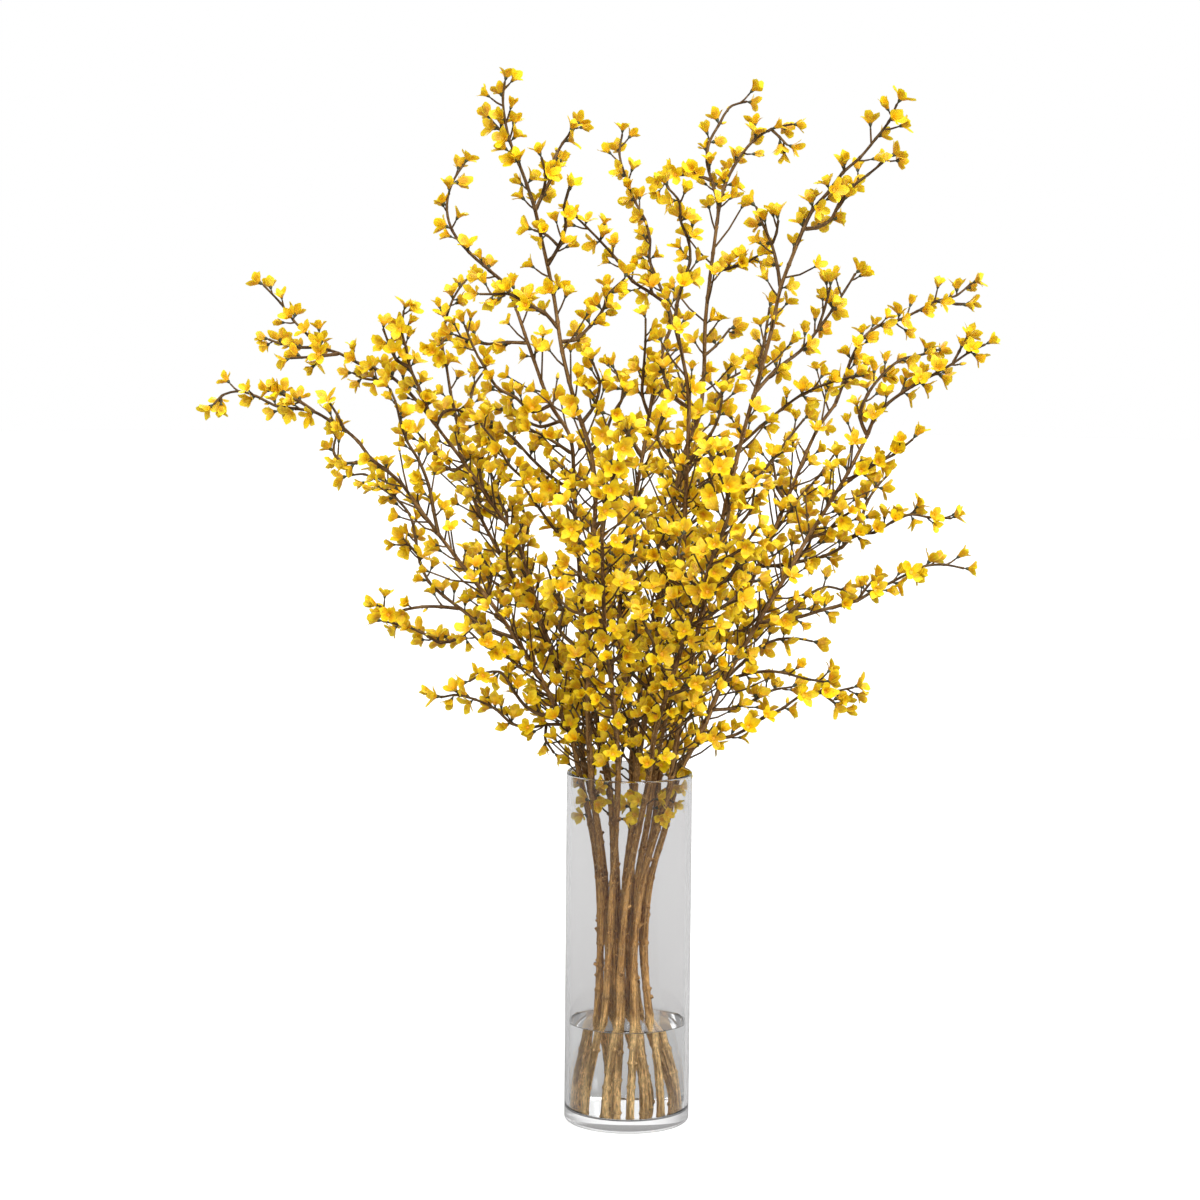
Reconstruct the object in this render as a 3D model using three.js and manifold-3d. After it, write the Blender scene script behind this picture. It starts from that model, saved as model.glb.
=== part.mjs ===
// Forsythia branches in flower, standing in water in a clear glass cylinder vase.
// Millimetres, +Z up; the origin is the centre of the vase's underside.
//
// Each branch is one solid: a woody stem from its cut foot up through the vase, the twigs that
// grow from it, and the flowers on the twigs, each a cup with two of its petals. Stems and twigs
// follow points chosen by hand. Short shoots, and which nodes carry flowers, follow a rule with
// seeded draws.

import * as THREE from "three";
import { mergeVertices } from "three/addons/utils/BufferGeometryUtils.js";
import Module from "manifold-3d";

// ---- Driving dimensions ----

const VASE_RADIUS = 76;
const VASE_HEIGHT = 430;
const VASE_WALL = 5;
const VASE_FLOOR = 14;
const VASE_EDGE = 4; // rounding where the foot meets the wall
const VASE_LIP = 2; // rounding of the rim
const VASE_SEGMENTS = 32;
const WATER_TOP = 122;
const SEAT_GAP = 0.3; // between pieces that touch

const STEM_SIDES = 5;
const STEM_FOOT_RADIUS = 5.6;
const STEM_END_RADIUS = 2.7;
const TWIG_SIDES = 3;
const TWIG_ROOT_RADIUS = 2.3;
const TWIG_TIP_RADIUS = 1.3;
const SHORT_TWIG = 60; // twigs shorter than this are thinner at the root
const SHORT_TWIG_ROOT_RADIUS = 1.8;
const NODE_LENGTH = 3.8; // of the spot on a twig's side that a flower grows from

const PETALS = 2; // a forsythia flower has four
const PETAL_REACH = 11.5; // from the flower's axis to a petal's tip
const PETAL_RISE = 15; // from the node to the petals' tips, along the flower's axis
const CUP_REACH = 5.2; // where the petals part
const CUP_RISE = 8;

const BRANCH_GAP = 0.9; // least space between the wood of two branches
const FLOWER_GAP = 0.8; // least space round a flower

// A point given as [x, z] lies in the plane y = 0 as this eye sees it, and is pushed along the
// line of sight to its own depth.
const EYE = new THREE.Vector3(-37.5, -4000, 1120);

// The stems keep one pattern in the vase, set out where they pass the rim. Each row is the
// height, the scale of the pattern, its turn in degrees and its shift along X.
const BUNDLE = [
  [VASE_FLOOR + SEAT_GAP, 0.8, -50, 0],
  [126, 0.54, -34, -4],
  [220, 0.45, -22, -7],
  [300, 0.52, -13, -5],
  [365, 0.74, -6, -1],
  [VASE_HEIGHT, 1, 0, 0],
];

// ---- The branches ----
// seat: where the stem passes the rim, [x, y]. depth: y at the stem's upper end. stem: its
// points above the rim. twigs: each row is how far the twig leans back (or forward, if
// negative) over its length, then its points, the first of which lies on older wood.
// shoots: how many short side shoots are drawn along the stem.

const BRANCHES = [
  {
    name: "branch_far_left",
    seat: [-61, -9],
    depth: -40,
    stem: [[-72, 475], [-88, 505], [-110, 545], [-132, 580], [-160, 622], [-195, 668],
      [-232, 716], [-276, 776]],
    twigs: [
      [-35, [-276, 776], [-294, 792], [-312, 805], [-328, 826], [-345, 841], [-362, 851],
        [-380, 861], [-403, 865], [-426, 868], [-449, 879], [-470, 885], [-490, 880], [-500, 870]],
      [30, [-312, 805], [-330, 801], [-346, 801], [-357, 812], [-353, 838]],
      [25, [-380, 861], [-397, 873], [-416, 881], [-430, 886]],
      [-25, [-345, 841], [-352, 856], [-362, 872]],
      [70, [-140, 590], [-165, 600], [-185, 610], [-205, 626], [-225, 641], [-243, 658],
        [-254, 682], [-259, 708], [-266, 738], [-283, 759], [-303, 778], [-321, 787], [-340, 785]],
      [20, [-283, 759], [-293, 776], [-302, 790]],
      [-45, [-205, 626], [-228, 628], [-250, 628], [-272, 624], [-290, 617], [-302, 628]],
      [35, [-185, 610], [-208, 590], [-230, 585], [-252, 597], [-278, 606], [-298, 610]],
      [-20, [-256, 690], [-264, 699], [-272, 708]],
      [-60, [-232, 716], [-238, 745], [-244, 775], [-255, 803], [-270, 828], [-278, 852],
        [-284, 875], [-290, 889]],
      [-70, [-88, 505], [-106, 498], [-126, 508], [-141, 527], [-157, 549], [-176, 548],
        [-194, 538]],
      [-60, [-115, 552], [-134, 556], [-152, 572], [-174, 580], [-192, 596]],
      [60, [-160, 622], [-172, 642], [-168, 666], [-180, 690]],
      [-12, [-70, 462], [-58, 446], [-47, 424], [-40, 404]],
    ],
    shoots: 0,
  },
  {
    name: "branch_high_left",
    seat: [-55, 29],
    depth: 90,
    stem: [[-62, 475], [-73, 512], [-88, 552], [-102, 592], [-114, 632], [-125, 672],
      [-142, 717], [-170, 756], [-200, 800], [-235, 846]],
    twigs: [
      [40, [-235, 846], [-250, 866], [-267, 885], [-286, 902], [-307, 913], [-328, 920],
        [-350, 931], [-372, 939], [-388, 953], [-405, 970], [-420, 990], [-440, 1011]],
      [-25, [-350, 931], [-372, 928], [-394, 926], [-408, 925]],
      [20, [-372, 939], [-398, 938], [-420, 942], [-434, 947]],
      [25, [-286, 902], [-305, 900], [-322, 902], [-334, 908]],
      [-40, [-200, 800], [-214, 793], [-228, 800], [-240, 818], [-255, 835]],
      [-60, [-240, 852], [-246, 868], [-256, 892], [-266, 915], [-271, 939], [-276, 958],
        [-274, 982]],
      [-25, [-266, 915], [-282, 924], [-291, 942], [-298, 960]],
      [50, [-235, 846], [-226, 862], [-210, 865], [-192, 856]],
      [60, [-170, 756], [-180, 778], [-182, 802], [-172, 826], [-176, 850]],
      [-60, [-88, 552], [-106, 562], [-118, 580], [-136, 592]],
      [-70, [-118, 645], [-136, 656], [-148, 677], [-150, 702]],
    ],
    shoots: 1,
  },
  {
    name: "branch_back_left",
    seat: [-31, 54],
    depth: 210,
    stem: [[-42, 475], [-64, 520], [-86, 562], [-106, 602], [-128, 642], [-152, 684],
      [-181, 736], [-200, 792]],
    twigs: [
      [60, [-200, 792], [-205, 822], [-211, 855], [-218, 887], [-223, 918], [-228, 945],
        [-224, 970], [-216, 995], [-206, 1012], [-198, 1021]],
      [-25, [-223, 918], [-233, 926], [-244, 934]],
      [50, [-211, 855], [-196, 872], [-190, 894], [-178, 912]],
      [-60, [-181, 736], [-168, 756], [-160, 782], [-164, 806]],
      [60, [-152, 684], [-134, 706], [-128, 732], [-132, 756]],
      [70, [-128, 642], [-150, 650], [-172, 664], [-186, 684]],
    ],
    shoots: 2,
  },
  {
    name: "branch_tall_back_left",
    seat: [-27, 4],
    depth: 60,
    stem: [[-36, 475], [-48, 520], [-56, 570], [-60, 620], [-62, 670], [-67, 727], [-70, 784],
      [-75, 834], [-98, 872], [-120, 929], [-140, 986]],
    twigs: [
      [55, [-140, 986], [-151, 1012], [-172, 1031], [-196, 1052], [-217, 1079], [-223, 1105],
        [-217, 1133], [-203, 1156]],
      [35, [-127, 945], [-150, 946], [-175, 944], [-195, 948], [-212, 954]],
      [-45, [-98, 872], [-120, 864], [-140, 880], [-162, 892], [-177, 915], [-190, 938],
        [-201, 965]],
      [50, [-86, 853], [-110, 846], [-134, 856], [-154, 866]],
      [-50, [-73, 814], [-88, 824], [-105, 834], [-121, 842]],
      [60, [-70, 768], [-97, 786], [-122, 809], [-143, 832], [-165, 849], [-186, 855]],
      [-70, [-68, 740], [-97, 768], [-124, 780], [-147, 799], [-162, 824], [-180, 846]],
      [-60, [-64, 692], [-90, 720], [-110, 746], [-127, 770]],
      [-50, [-60, 600], [-80, 622], [-92, 648], [-100, 674]],
      [-60, [-40, 490], [-66, 486], [-101, 486], [-122, 482], [-143, 487], [-162, 504],
        [-188, 516], [-212, 521], [-228, 518]],
      [-12, [-101, 486], [-102, 468], [-92, 452]],
    ],
    shoots: 0,
  },
  {
    name: "branch_tallest",
    seat: [-46, -42],
    depth: -170,
    stem: [[-50, 475], [-52, 525], [-52, 580], [-50, 635], [-48, 690], [-44, 760], [-50, 816],
      [-68, 870], [-85, 936], [-96, 1004], [-113, 1080]],
    twigs: [
      [-30, [-113, 1080], [-119, 1106], [-128, 1132], [-138, 1158], [-148, 1182], [-154, 1206],
        [-157, 1232], [-155, 1252]],
      [15, [-148, 1182], [-160, 1196], [-171, 1208]],
      [55, [-118, 1102], [-110, 1120], [-100, 1140], [-96, 1162], [-86, 1182], [-70, 1202]],
      [-25, [-110, 1120], [-106, 1142], [-111, 1164]],
      [-50, [-103, 1037], [-90, 1060], [-82, 1084], [-84, 1106], [-79, 1127]],
      [-15, [-90, 1060], [-104, 1073], [-119, 1079]],
      [60, [-88, 947], [-70, 950], [-52, 966], [-38, 984], [-30, 1004], [-12, 1022]],
      [-45, [-90, 962], [-106, 981], [-128, 992], [-148, 1003], [-166, 1003], [-183, 1003]],
      [-60, [-50, 816], [-34, 836], [-24, 862], [-10, 884]],
      [-40, [-62, 850], [-46, 872], [-40, 898], [-48, 922]],
      [-70, [-46, 725], [-30, 742], [-20, 768], [-26, 794], [-12, 812]],
      [-70, [-50, 635], [-34, 648], [-24, 668], [-30, 692], [-16, 708]],
      [-60, [-52, 570], [-70, 584], [-86, 602], [-82, 626], [-94, 646]],
    ],
    shoots: 0,
  },
  {
    name: "branch_back_centre",
    seat: [4, 28],
    depth: 190,
    stem: [[4, 475], [-3, 520], [-12, 570], [-14, 625], [-8, 680], [0, 740], [10, 800],
      [18, 850], [24, 890], [38, 950]],
    twigs: [
      [70, [38, 950], [45, 970], [40, 992], [28, 1020], [18, 1045], [18, 1069], [12, 1092],
        [0, 1114], [-11, 1142], [-19, 1170], [-16, 1192]],
      [-60, [40, 992], [20, 1006], [-2, 1020], [-20, 1044], [-40, 1066], [-58, 1084],
        [-74, 1099]],
      [-40, [19, 860], [11, 885], [12, 912], [14, 947], [14, 975]],
      [60, [0, 740], [-20, 762], [-34, 790], [-30, 820]],
      [50, [12, 812], [-6, 838], [-18, 862], [-12, 890], [-22, 914]],
      [60, [-12, 640], [8, 662], [22, 690], [18, 716]],
    ],
    shoots: 2,
  },
  {
    name: "branch_front_centre",
    seat: [31, 3],
    depth: -180,
    stem: [[38, 475], [48, 520], [56, 570], [60, 625], [62, 690], [64, 760], [66, 830],
      [66, 887], [56, 942]],
    twigs: [
      [-40, [56, 942], [50, 965], [51, 992], [58, 1018], [66, 1044], [64, 1068], [55, 1090],
        [52, 1115], [38, 1131]],
      [50, [66, 870], [46, 886], [36, 910], [40, 934]],
      [-60, [65, 800], [44, 812], [30, 834], [34, 858]],
      [-60, [63, 725], [84, 742], [98, 764], [92, 790]],
      [-50, [61, 655], [40, 668], [30, 690], [38, 716]],
      [-60, [58, 590], [36, 602], [24, 624], [28, 650]],
    ],
    shoots: 1,
  },
  {
    name: "branch_centre",
    seat: [8, -24],
    depth: -20,
    stem: [[15, 475], [23, 530], [31, 590], [39, 650], [45, 710], [52, 765], [62, 815],
      [79, 860], [84, 910], [85, 970], [90, 1025], [97, 1085]],
    twigs: [
      [40, [97, 1085], [99, 1108], [93, 1132], [85, 1160], [87, 1183], [98, 1204], [112, 1226],
        [130, 1232]],
      [-35, [91, 1139], [72, 1145], [50, 1145], [30, 1138]],
      [60, [98, 1100], [106, 1133], [121, 1163], [140, 1187], [160, 1200], [184, 1206]],
      [-15, [160, 1200], [170, 1191], [179, 1182]],
      [-40, [91, 1032], [112, 1036], [130, 1042], [145, 1050]],
      [30, [84, 932], [98, 944], [114, 964]],
      [-70, [60, 806], [98, 811], [130, 828], [152, 848], [176, 868], [200, 886], [228, 899],
        [262, 909]],
      [60, [79, 860], [100, 878], [112, 902], [130, 914]],
      [50, [48, 735], [68, 754], [84, 778], [104, 786]],
      [60, [38, 640], [58, 652], [76, 672], [80, 700]],
      [-60, [23, 530], [4, 548], [-4, 572], [6, 596]],
    ],
    shoots: 0,
  },
  {
    name: "branch_tall_right",
    seat: [50, -36],
    depth: -190,
    stem: [[58, 475], [68, 530], [78, 590], [91, 650], [104, 715], [118, 780], [132, 840],
      [152, 915], [165, 968], [174, 1013], [192, 1063]],
    twigs: [
      [-50, [192, 1063], [200, 1083], [211, 1106], [230, 1128], [246, 1150], [266, 1168],
        [284, 1190], [299, 1210], [308, 1230]],
      [35, [200, 1083], [216, 1085], [232, 1094], [242, 1113], [256, 1132], [276, 1148],
        [300, 1168]],
      [35, [174, 1013], [170, 1038], [163, 1064], [153, 1086], [144, 1108]],
      [-15, [163, 1064], [168, 1078], [170, 1092]],
      [50, [85, 622], [108, 630], [128, 646], [140, 668]],
      [60, [145, 888], [170, 916], [200, 940], [219, 964], [236, 988], [250, 1010], [262, 1030]],
      [-15, [219, 964], [227, 990], [233, 1014]],
      [50, [112, 750], [131, 764], [148, 784], [166, 807], [186, 834], [204, 857]],
      [-60, [104, 715], [126, 728], [142, 748], [146, 772]],
      [-60, [91, 650], [112, 662], [128, 682], [130, 706]],
      [-50, [78, 590], [58, 606], [54, 628], [62, 650]],
    ],
    shoots: 1,
  },
  {
    name: "branch_back_right",
    seat: [40, 47],
    depth: 170,
    stem: [[52, 475], [78, 530], [104, 580], [130, 630], [152, 680], [165, 710], [178, 742],
      [200, 798], [222, 848], [241, 875]],
    twigs: [
      [40, [241, 875], [250, 900], [259, 928], [272, 953], [291, 969], [314, 976], [337, 987],
        [359, 999], [383, 1006], [400, 1020]],
      [-20, [250, 900], [262, 907], [274, 918]],
      [20, [359, 999], [376, 997], [393, 996]],
      [40, [168, 717], [188, 746], [203, 766], [222, 788], [240, 814]],
      [-60, [152, 680], [180, 682], [205, 687], [230, 693], [252, 704], [268, 719], [290, 722],
        [312, 735], [333, 744], [356, 741], [382, 740]],
      [25, [268, 719], [275, 738], [281, 758], [292, 776], [304, 790]],
      [70, [140, 654], [132, 680], [118, 704], [120, 730]],
      [-50, [112, 596], [134, 602], [152, 618], [166, 640]],
      [70, [104, 580], [84, 600], [80, 628], [94, 650]],
    ],
    shoots: 1,
  },
  {
    name: "branch_far_right",
    seat: [62, 8],
    depth: 20,
    stem: [[76, 460], [91, 490], [110, 536], [132, 575], [155, 616], [185, 668], [211, 715],
      [236, 756], [258, 794], [280, 838]],
    twigs: [
      [-40, [280, 838], [287, 856], [303, 876], [321, 890], [340, 902], [360, 913], [380, 925],
        [400, 939], [418, 948]],
      [20, [380, 925], [388, 940], [394, 954]],
      [35, [280, 838], [271, 862], [280, 888], [296, 910], [318, 929], [345, 936], [361, 941]],
      [50, [185, 668], [200, 690], [214, 712], [210, 738]],
      [-40, [211, 715], [232, 722], [248, 738], [264, 748]],
      [-35, [248, 778], [272, 793], [291, 805], [312, 816], [334, 834]],
      [-50, [153, 612], [180, 615], [205, 620], [230, 628], [252, 634], [272, 640], [290, 651],
        [312, 662], [332, 673], [352, 682], [375, 684], [398, 680]],
      [20, [272, 640], [280, 652], [290, 665]],
      [35, [180, 615], [198, 632], [214, 647], [235, 656], [255, 652]],
      [40, [114, 544], [138, 566], [156, 583], [178, 592], [200, 593], [218, 590]],
      [-35, [112, 540], [138, 549], [164, 553], [186, 551], [208, 545], [232, 541]],
      [-50, [78, 464], [98, 470], [121, 473], [140, 482], [160, 496], [184, 508], [205, 523],
        [231, 527], [250, 530], [268, 534]],
      [15, [231, 527], [243, 518], [254, 509]],
      [40, [98, 505], [126, 508], [150, 518], [172, 530], [194, 534]],
      [-15, [74, 456], [62, 440], [50, 418], [46, 394]],
    ],
    shoots: 0,
  },
  {
    name: "branch_front_left",
    seat: [-14, -60],
    depth: -260,
    stem: [[-16, 475], [-22, 530], [-30, 590], [-34, 655], [-36, 720]],
    twigs: [
      [-70, [-36, 720], [-34, 745], [-28, 770], [-20, 795], [-14, 820], [-4, 842]],
      [-50, [-35, 690], [-56, 704], [-72, 722], [-78, 748]],
      [50, [-34, 655], [-14, 668], [0, 688], [4, 712]],
      [-60, [-31, 610], [-52, 618], [-74, 626], [-90, 644]],
      [-60, [-26, 560], [-8, 574], [6, 594], [4, 620]],
      [-50, [-20, 515], [-38, 528], [-54, 546], [-66, 566]],
    ],
    shoots: 1,
  },
  {
    name: "branch_front_right",
    seat: [22, -58],
    depth: -280,
    stem: [[30, 475], [46, 530], [64, 590], [84, 650], [100, 700]],
    twigs: [
      [-70, [100, 700], [110, 724], [116, 748], [112, 772], [102, 794], [92, 815]],
      [-50, [94, 680], [114, 690], [134, 704], [148, 724]],
      [50, [84, 650], [66, 668], [56, 692], [60, 716]],
      [-60, [70, 608], [92, 618], [112, 632], [130, 640]],
      [-60, [54, 556], [34, 572], [24, 594], [14, 614]],
      [-50, [44, 522], [64, 530], [86, 544], [104, 560]],
    ],
    shoots: 1,
  },
  {
    name: "branch_back",
    seat: [3, 62],
    depth: 300,
    stem: [[6, 475], [14, 540], [26, 610], [42, 680], [56, 750], [64, 815]],
    twigs: [
      [60, [64, 815], [72, 842], [70, 868], [60, 892], [52, 915]],
      [60, [60, 782], [42, 800], [30, 824], [32, 850]],
      [-50, [56, 750], [78, 768], [94, 790], [96, 816]],
      [60, [46, 700], [24, 716], [8, 738], [-2, 760]],
      [60, [34, 645], [56, 660], [74, 682], [72, 710]],
      [60, [22, 585], [2, 600], [-16, 620], [-22, 646]],
    ],
    shoots: 2,
  },
];

// ---- Small helpers ----

const wasm = await Module();
wasm.setup();

// Repeatable draws between 0 and 1.
function seeded(seed) {
  let state = seed >>> 0;
  return () => {
    state = (state + 0x6d2b79f5) >>> 0;
    let t = Math.imul(state ^ (state >>> 15), state | 1);
    t = (t + Math.imul(t ^ (t >>> 7), t | 61)) ^ t;
    return ((t ^ (t >>> 14)) >>> 0) / 4294967296;
  };
}

function radians(degrees) {
  return (degrees * Math.PI) / 180;
}

// start + a * u + b * v
function offset(start, a, u, b, v) {
  return start.clone().addScaledVector(u, a).addScaledVector(v, b);
}

// The part of a vector that is square to an axis, at unit length.
function square(vector, axis) {
  return vector.clone().addScaledVector(axis, -vector.dot(axis)).normalize();
}

function atDepth(x, z, y) {
  const scale = (y - EYE.y) / -EYE.y;
  return new THREE.Vector3(EYE.x + (x - EYE.x) * scale, y, EYE.z + (z - EYE.z) * scale);
}

function asSeen(point) {
  const scale = -EYE.y / (point.y - EYE.y);
  return [EYE.x + (point.x - EYE.x) * scale, EYE.z + (point.z - EYE.z) * scale];
}

// Distance along a path at each of its points.
function arcs(points) {
  const along = [0];
  for (let i = 1; i < points.length; i += 1) {
    along.push(along[i - 1] + points[i].distanceTo(points[i - 1]));
  }
  return along;
}

// A direction and two square ones at each point of a path, carried along without twist.
function framesAlong(points, roll, start) {
  const frames = [];
  points.forEach((point, i) => {
    const tangent = new THREE.Vector3();
    if (i > 0) tangent.add(point.clone().sub(points[i - 1]).normalize());
    if (i < points.length - 1) tangent.add(points[i + 1].clone().sub(point).normalize());
    tangent.normalize();
    if (i === 0 && start) tangent.copy(start);
    let u;
    if (i > 0) {
      u = square(frames[i - 1].u, tangent);
    } else {
      const helper = Math.abs(tangent.z) < 0.9 ? [0, 0, 1] : [1, 0, 0];
      const first = square(new THREE.Vector3(...helper), tangent);
      const second = tangent.clone().cross(first);
      u = offset(new THREE.Vector3(), Math.cos(roll), first, Math.sin(roll), second);
    }
    frames.push({ tangent, u, v: tangent.clone().cross(u) });
  });
  return frames;
}

// ---- Keeping pieces clear of each other ----
// Wood and flowers are noted as balls in a grid of cells, so that what would cross another
// branch can be bent clear before anything is built.

const CELL = 16;
const cells = new Map();

function cellKey(i, j, k) {
  return `${i} ${j} ${k}`;
}

function noteBall(centre, radius, branch, twig, flower = false) {
  const key = cellKey(...centre.toArray().map((value) => Math.floor(value / CELL)));
  if (!cells.has(key)) cells.set(key, []);
  cells.get(key).push({ centre, radius, branch, twig, flower });
}

// Least distance from a ball to the noted ones that the test lets count.
function spaceRound(centre, radius, counts) {
  const [i, j, k] = centre.toArray().map((value) => Math.floor(value / CELL));
  let least = CELL / 2;
  for (let a = i - 1; a <= i + 1; a += 1) {
    for (let b = j - 1; b <= j + 1; b += 1) {
      for (let c = k - 1; c <= k + 1; c += 1) {
        for (const ball of cells.get(cellKey(a, b, c)) ?? []) {
          if (counts(ball)) {
            least = Math.min(least, centre.distanceTo(ball.centre) - radius - ball.radius);
          }
        }
      }
    }
  }
  return least;
}

// Balls along a path, close enough together to stand for the wood.
const BALL_STEP = 2.5;

function woodBalls(points, radii) {
  const balls = [];
  for (let i = 1; i < points.length; i += 1) {
    const steps = Math.ceil(points[i].distanceTo(points[i - 1]) / BALL_STEP);
    for (let s = 0; s < steps; s += 1) {
      const t = s / steps;
      const radius = radii[i - 1] + (radii[i] - radii[i - 1]) * t;
      balls.push([points[i - 1].clone().lerp(points[i], t), radius]);
    }
  }
  balls.push([points.at(-1), radii.at(-1)]);
  return balls;
}

// Takes the first bend that keeps the path clear of every other branch, or the clearest.
function bendClear(bends, shape, radiiOf, branch) {
  let best;
  for (const bend of bends) {
    const points = shape(bend);
    const radii = radiiOf(points);
    const balls = woodBalls(points, radii);
    const other = (ball) => ball.branch !== branch;
    const space = Math.min(...balls.map(([c, r]) => spaceRound(c, r, other)));
    if (!best || space > best.space) best = { points, radii, balls, space };
    if (space >= BRANCH_GAP) break;
  }
  return best;
}

// ---- Where the wood runs ----

function bundlePoint(seat, [height, scale, turn, shift]) {
  const cos = Math.cos(radians(turn)) * scale;
  const sin = Math.sin(radians(turn)) * scale;
  return new THREE.Vector3(
    seat[0] * cos - seat[1] * sin + shift,
    seat[0] * sin + seat[1] * cos,
    height,
  );
}

// The stem stands in the bundle, passes the rim at its seat and then goes steadily back or
// forward to its depth. A bend bows it to the back or the front on the way.
function stemPoints(branch, bend) {
  const inVase = BUNDLE.map((row) => bundlePoint(branch.seat, row));
  const top = branch.stem.at(-1)[1];
  const above = branch.stem.map(([x, z]) => {
    const t = (z - VASE_HEIGHT) / (top - VASE_HEIGHT);
    const y = branch.seat[1] + (branch.depth - branch.seat[1]) * t;
    return atDepth(x, z, y + bend * Math.sin(Math.PI * t));
  });
  return [...inVase, ...above];
}

function taper(points, start, end) {
  const along = arcs(points);
  return along.map((s) => start + ((end - start) * s) / along.at(-1));
}

// The point of the branch's wood that is seen nearest to [x, z].
function rootOn(paths, [x, z]) {
  let best = { distance: Infinity };
  for (const path of paths) {
    const seen = path.points.map(asSeen);
    for (let i = 1; i < seen.length; i += 1) {
      const [ax, az] = seen[i - 1];
      const [dx, dz] = [seen[i][0] - ax, seen[i][1] - az];
      const along = ((x - ax) * dx + (z - az) * dz) / (dx * dx + dz * dz);
      const t = Math.min(Math.max(along, 0), 1);
      const [ex, ez] = [ax + dx * t - x, az + dz * t - z];
      const distance = ex * ex + ez * ez;
      if (distance < best.distance) {
        best = { distance, point: path.points[i - 1].clone().lerp(path.points[i], t) };
      }
    }
  }
  return best.point;
}

// A twig leans further back or forward as it goes; a bend adds to the lean.
function twigPoints(root, lean, route, bend) {
  const flat = route.map(([x, z]) => new THREE.Vector3(x, 0, z));
  const along = arcs(flat);
  const points = route.map(([x, z], i) => {
    const t = along[i] / along.at(-1);
    return atDepth(x, z, root.y + lean * t + bend * Math.sin((Math.PI * t) / 2));
  });
  points[0] = root;
  return points;
}

// A short side shoot leaves the stem at a slope, turns upward and wavers from node to node.
const SHOOT_STEP = 24;
const SHOOT_WAVER = 0.9; // most that it turns at a node, in radians
const SHOOT_LIFT = 0.35; // most that it steepens at a node
const SHOOT_STEEPEST = 1.4;

function shootPoints(root, heading, slope, nodes, draw) {
  const points = [root];
  let turn = heading;
  let climb = slope;
  for (let i = 0; i < nodes; i += 1) {
    const level = Math.cos(climb) * SHOOT_STEP;
    const step = [Math.cos(turn) * level, Math.sin(turn) * level, Math.sin(climb) * SHOOT_STEP];
    points.push(points.at(-1).clone().add(new THREE.Vector3(...step)));
    turn += (draw() - 0.5) * SHOOT_WAVER;
    climb = Math.min(climb + draw() * SHOOT_LIFT, SHOOT_STEEPEST);
  }
  return points;
}

const STEM_BENDS = [0, 8, -8, 16, -16, 24, -24, 32, -32];
const TWIG_BENDS = [0, 8, -8, 16, -16, 24, -24, 34, -34, 46, -46, 60, -60];

function notePath(paths, found, branch) {
  const twig = `${branch}.${paths.length}`;
  found.balls.forEach(([centre, radius]) => noteBall(centre, radius, branch, twig));
  paths.push({ points: found.points, radii: found.radii, twig });
}

function twigRadii(points) {
  const length = arcs(points).at(-1);
  const start = length < SHORT_TWIG ? SHORT_TWIG_ROOT_RADIUS : TWIG_ROOT_RADIUS;
  return taper(points, start, TWIG_TIP_RADIUS);
}

// Shoots are spread up the stem, each a golden turn round from the one before. One that no
// try brings clear of the other branches is left out.
const SHOOT_SEED = 500;
const SHOOT_TRIES = 8;
const GOLDEN_TURN = 2.39996;
const SHOOT_SPREAD = 0.8; // how much its heading is left to chance
const SHOOT_SLOPE = 0.35; // least slope at the stem
const SHOOT_SLOPE_SPREAD = 0.5;

function addShoots(paths, branch, index) {
  const draw = seeded(SHOOT_SEED + index);
  const stem = paths[0].points.slice(BUNDLE.length);
  for (let i = 0; i < branch.shoots; i += 1) {
    const place = ((i + 0.7) / branch.shoots) * (stem.length - 1);
    const at = Math.min(Math.floor(place), stem.length - 2);
    const root = stem[at].clone().lerp(stem[at + 1], place - at);
    for (let attempt = 0; attempt < SHOOT_TRIES; attempt += 1) {
      const heading = GOLDEN_TURN * (i + 3 * index) + draw() * SHOOT_SPREAD + attempt;
      const slope = SHOOT_SLOPE + draw() * SHOOT_SLOPE_SPREAD;
      const nodes = 2 + Math.floor(draw() * 3);
      const shape = () => shootPoints(root, heading, slope, nodes, draw);
      const found = bendClear([0], shape, twigRadii, index);
      if (found.space >= BRANCH_GAP) {
        notePath(paths, found, index);
        break;
      }
    }
  }
}

const wood = BRANCHES.map((branch, index) => {
  const radiiOf = (points) => taper(points, STEM_FOOT_RADIUS, STEM_END_RADIUS);
  const found = bendClear(STEM_BENDS, (bend) => stemPoints(branch, bend), radiiOf, index);
  const paths = [];
  notePath(paths, found, index);
  return paths;
});

BRANCHES.forEach((branch, index) => {
  branch.twigs.forEach(([lean, ...route]) => {
    const root = rootOn(wood[index], route[0]);
    const shape = (bend) => twigPoints(root, lean, route, bend);
    notePath(wood[index], bendClear(TWIG_BENDS, shape, twigRadii, index), index);
  });
});

BRANCHES.forEach((branch, index) => addShoots(wood[index], branch, index));

// ---- Where the flowers sit ----

const FLOWER_SEED = 1000; // plus a hundred for each branch and one for each path of it
const BARE_NODE = 0.19; // share of a twig's nodes with no flower
const BARE_STEM_NODE = 0.22; // and of a stem's, above the rim
const LONE_FLOWER = 0.6; // share of the others with one flower; the rest have two
const LONE_LEAN = 50; // degrees between the wood and the flower's axis
const PAIR_LEAN = 56;
const LEAN_STEP = 8; // added each time a flower has no room
const FLOWER_TRIES = 4;
const TIP_TILT = 0.8; // most that a flower at a tip tilts off the twig's line, each way
const SPIN_SPREAD = 0.6; // radians about the flower's own axis
const SMALLEST_FLOWER = 0.9;
const SIZE_SPREAD = 0.2;

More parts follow.
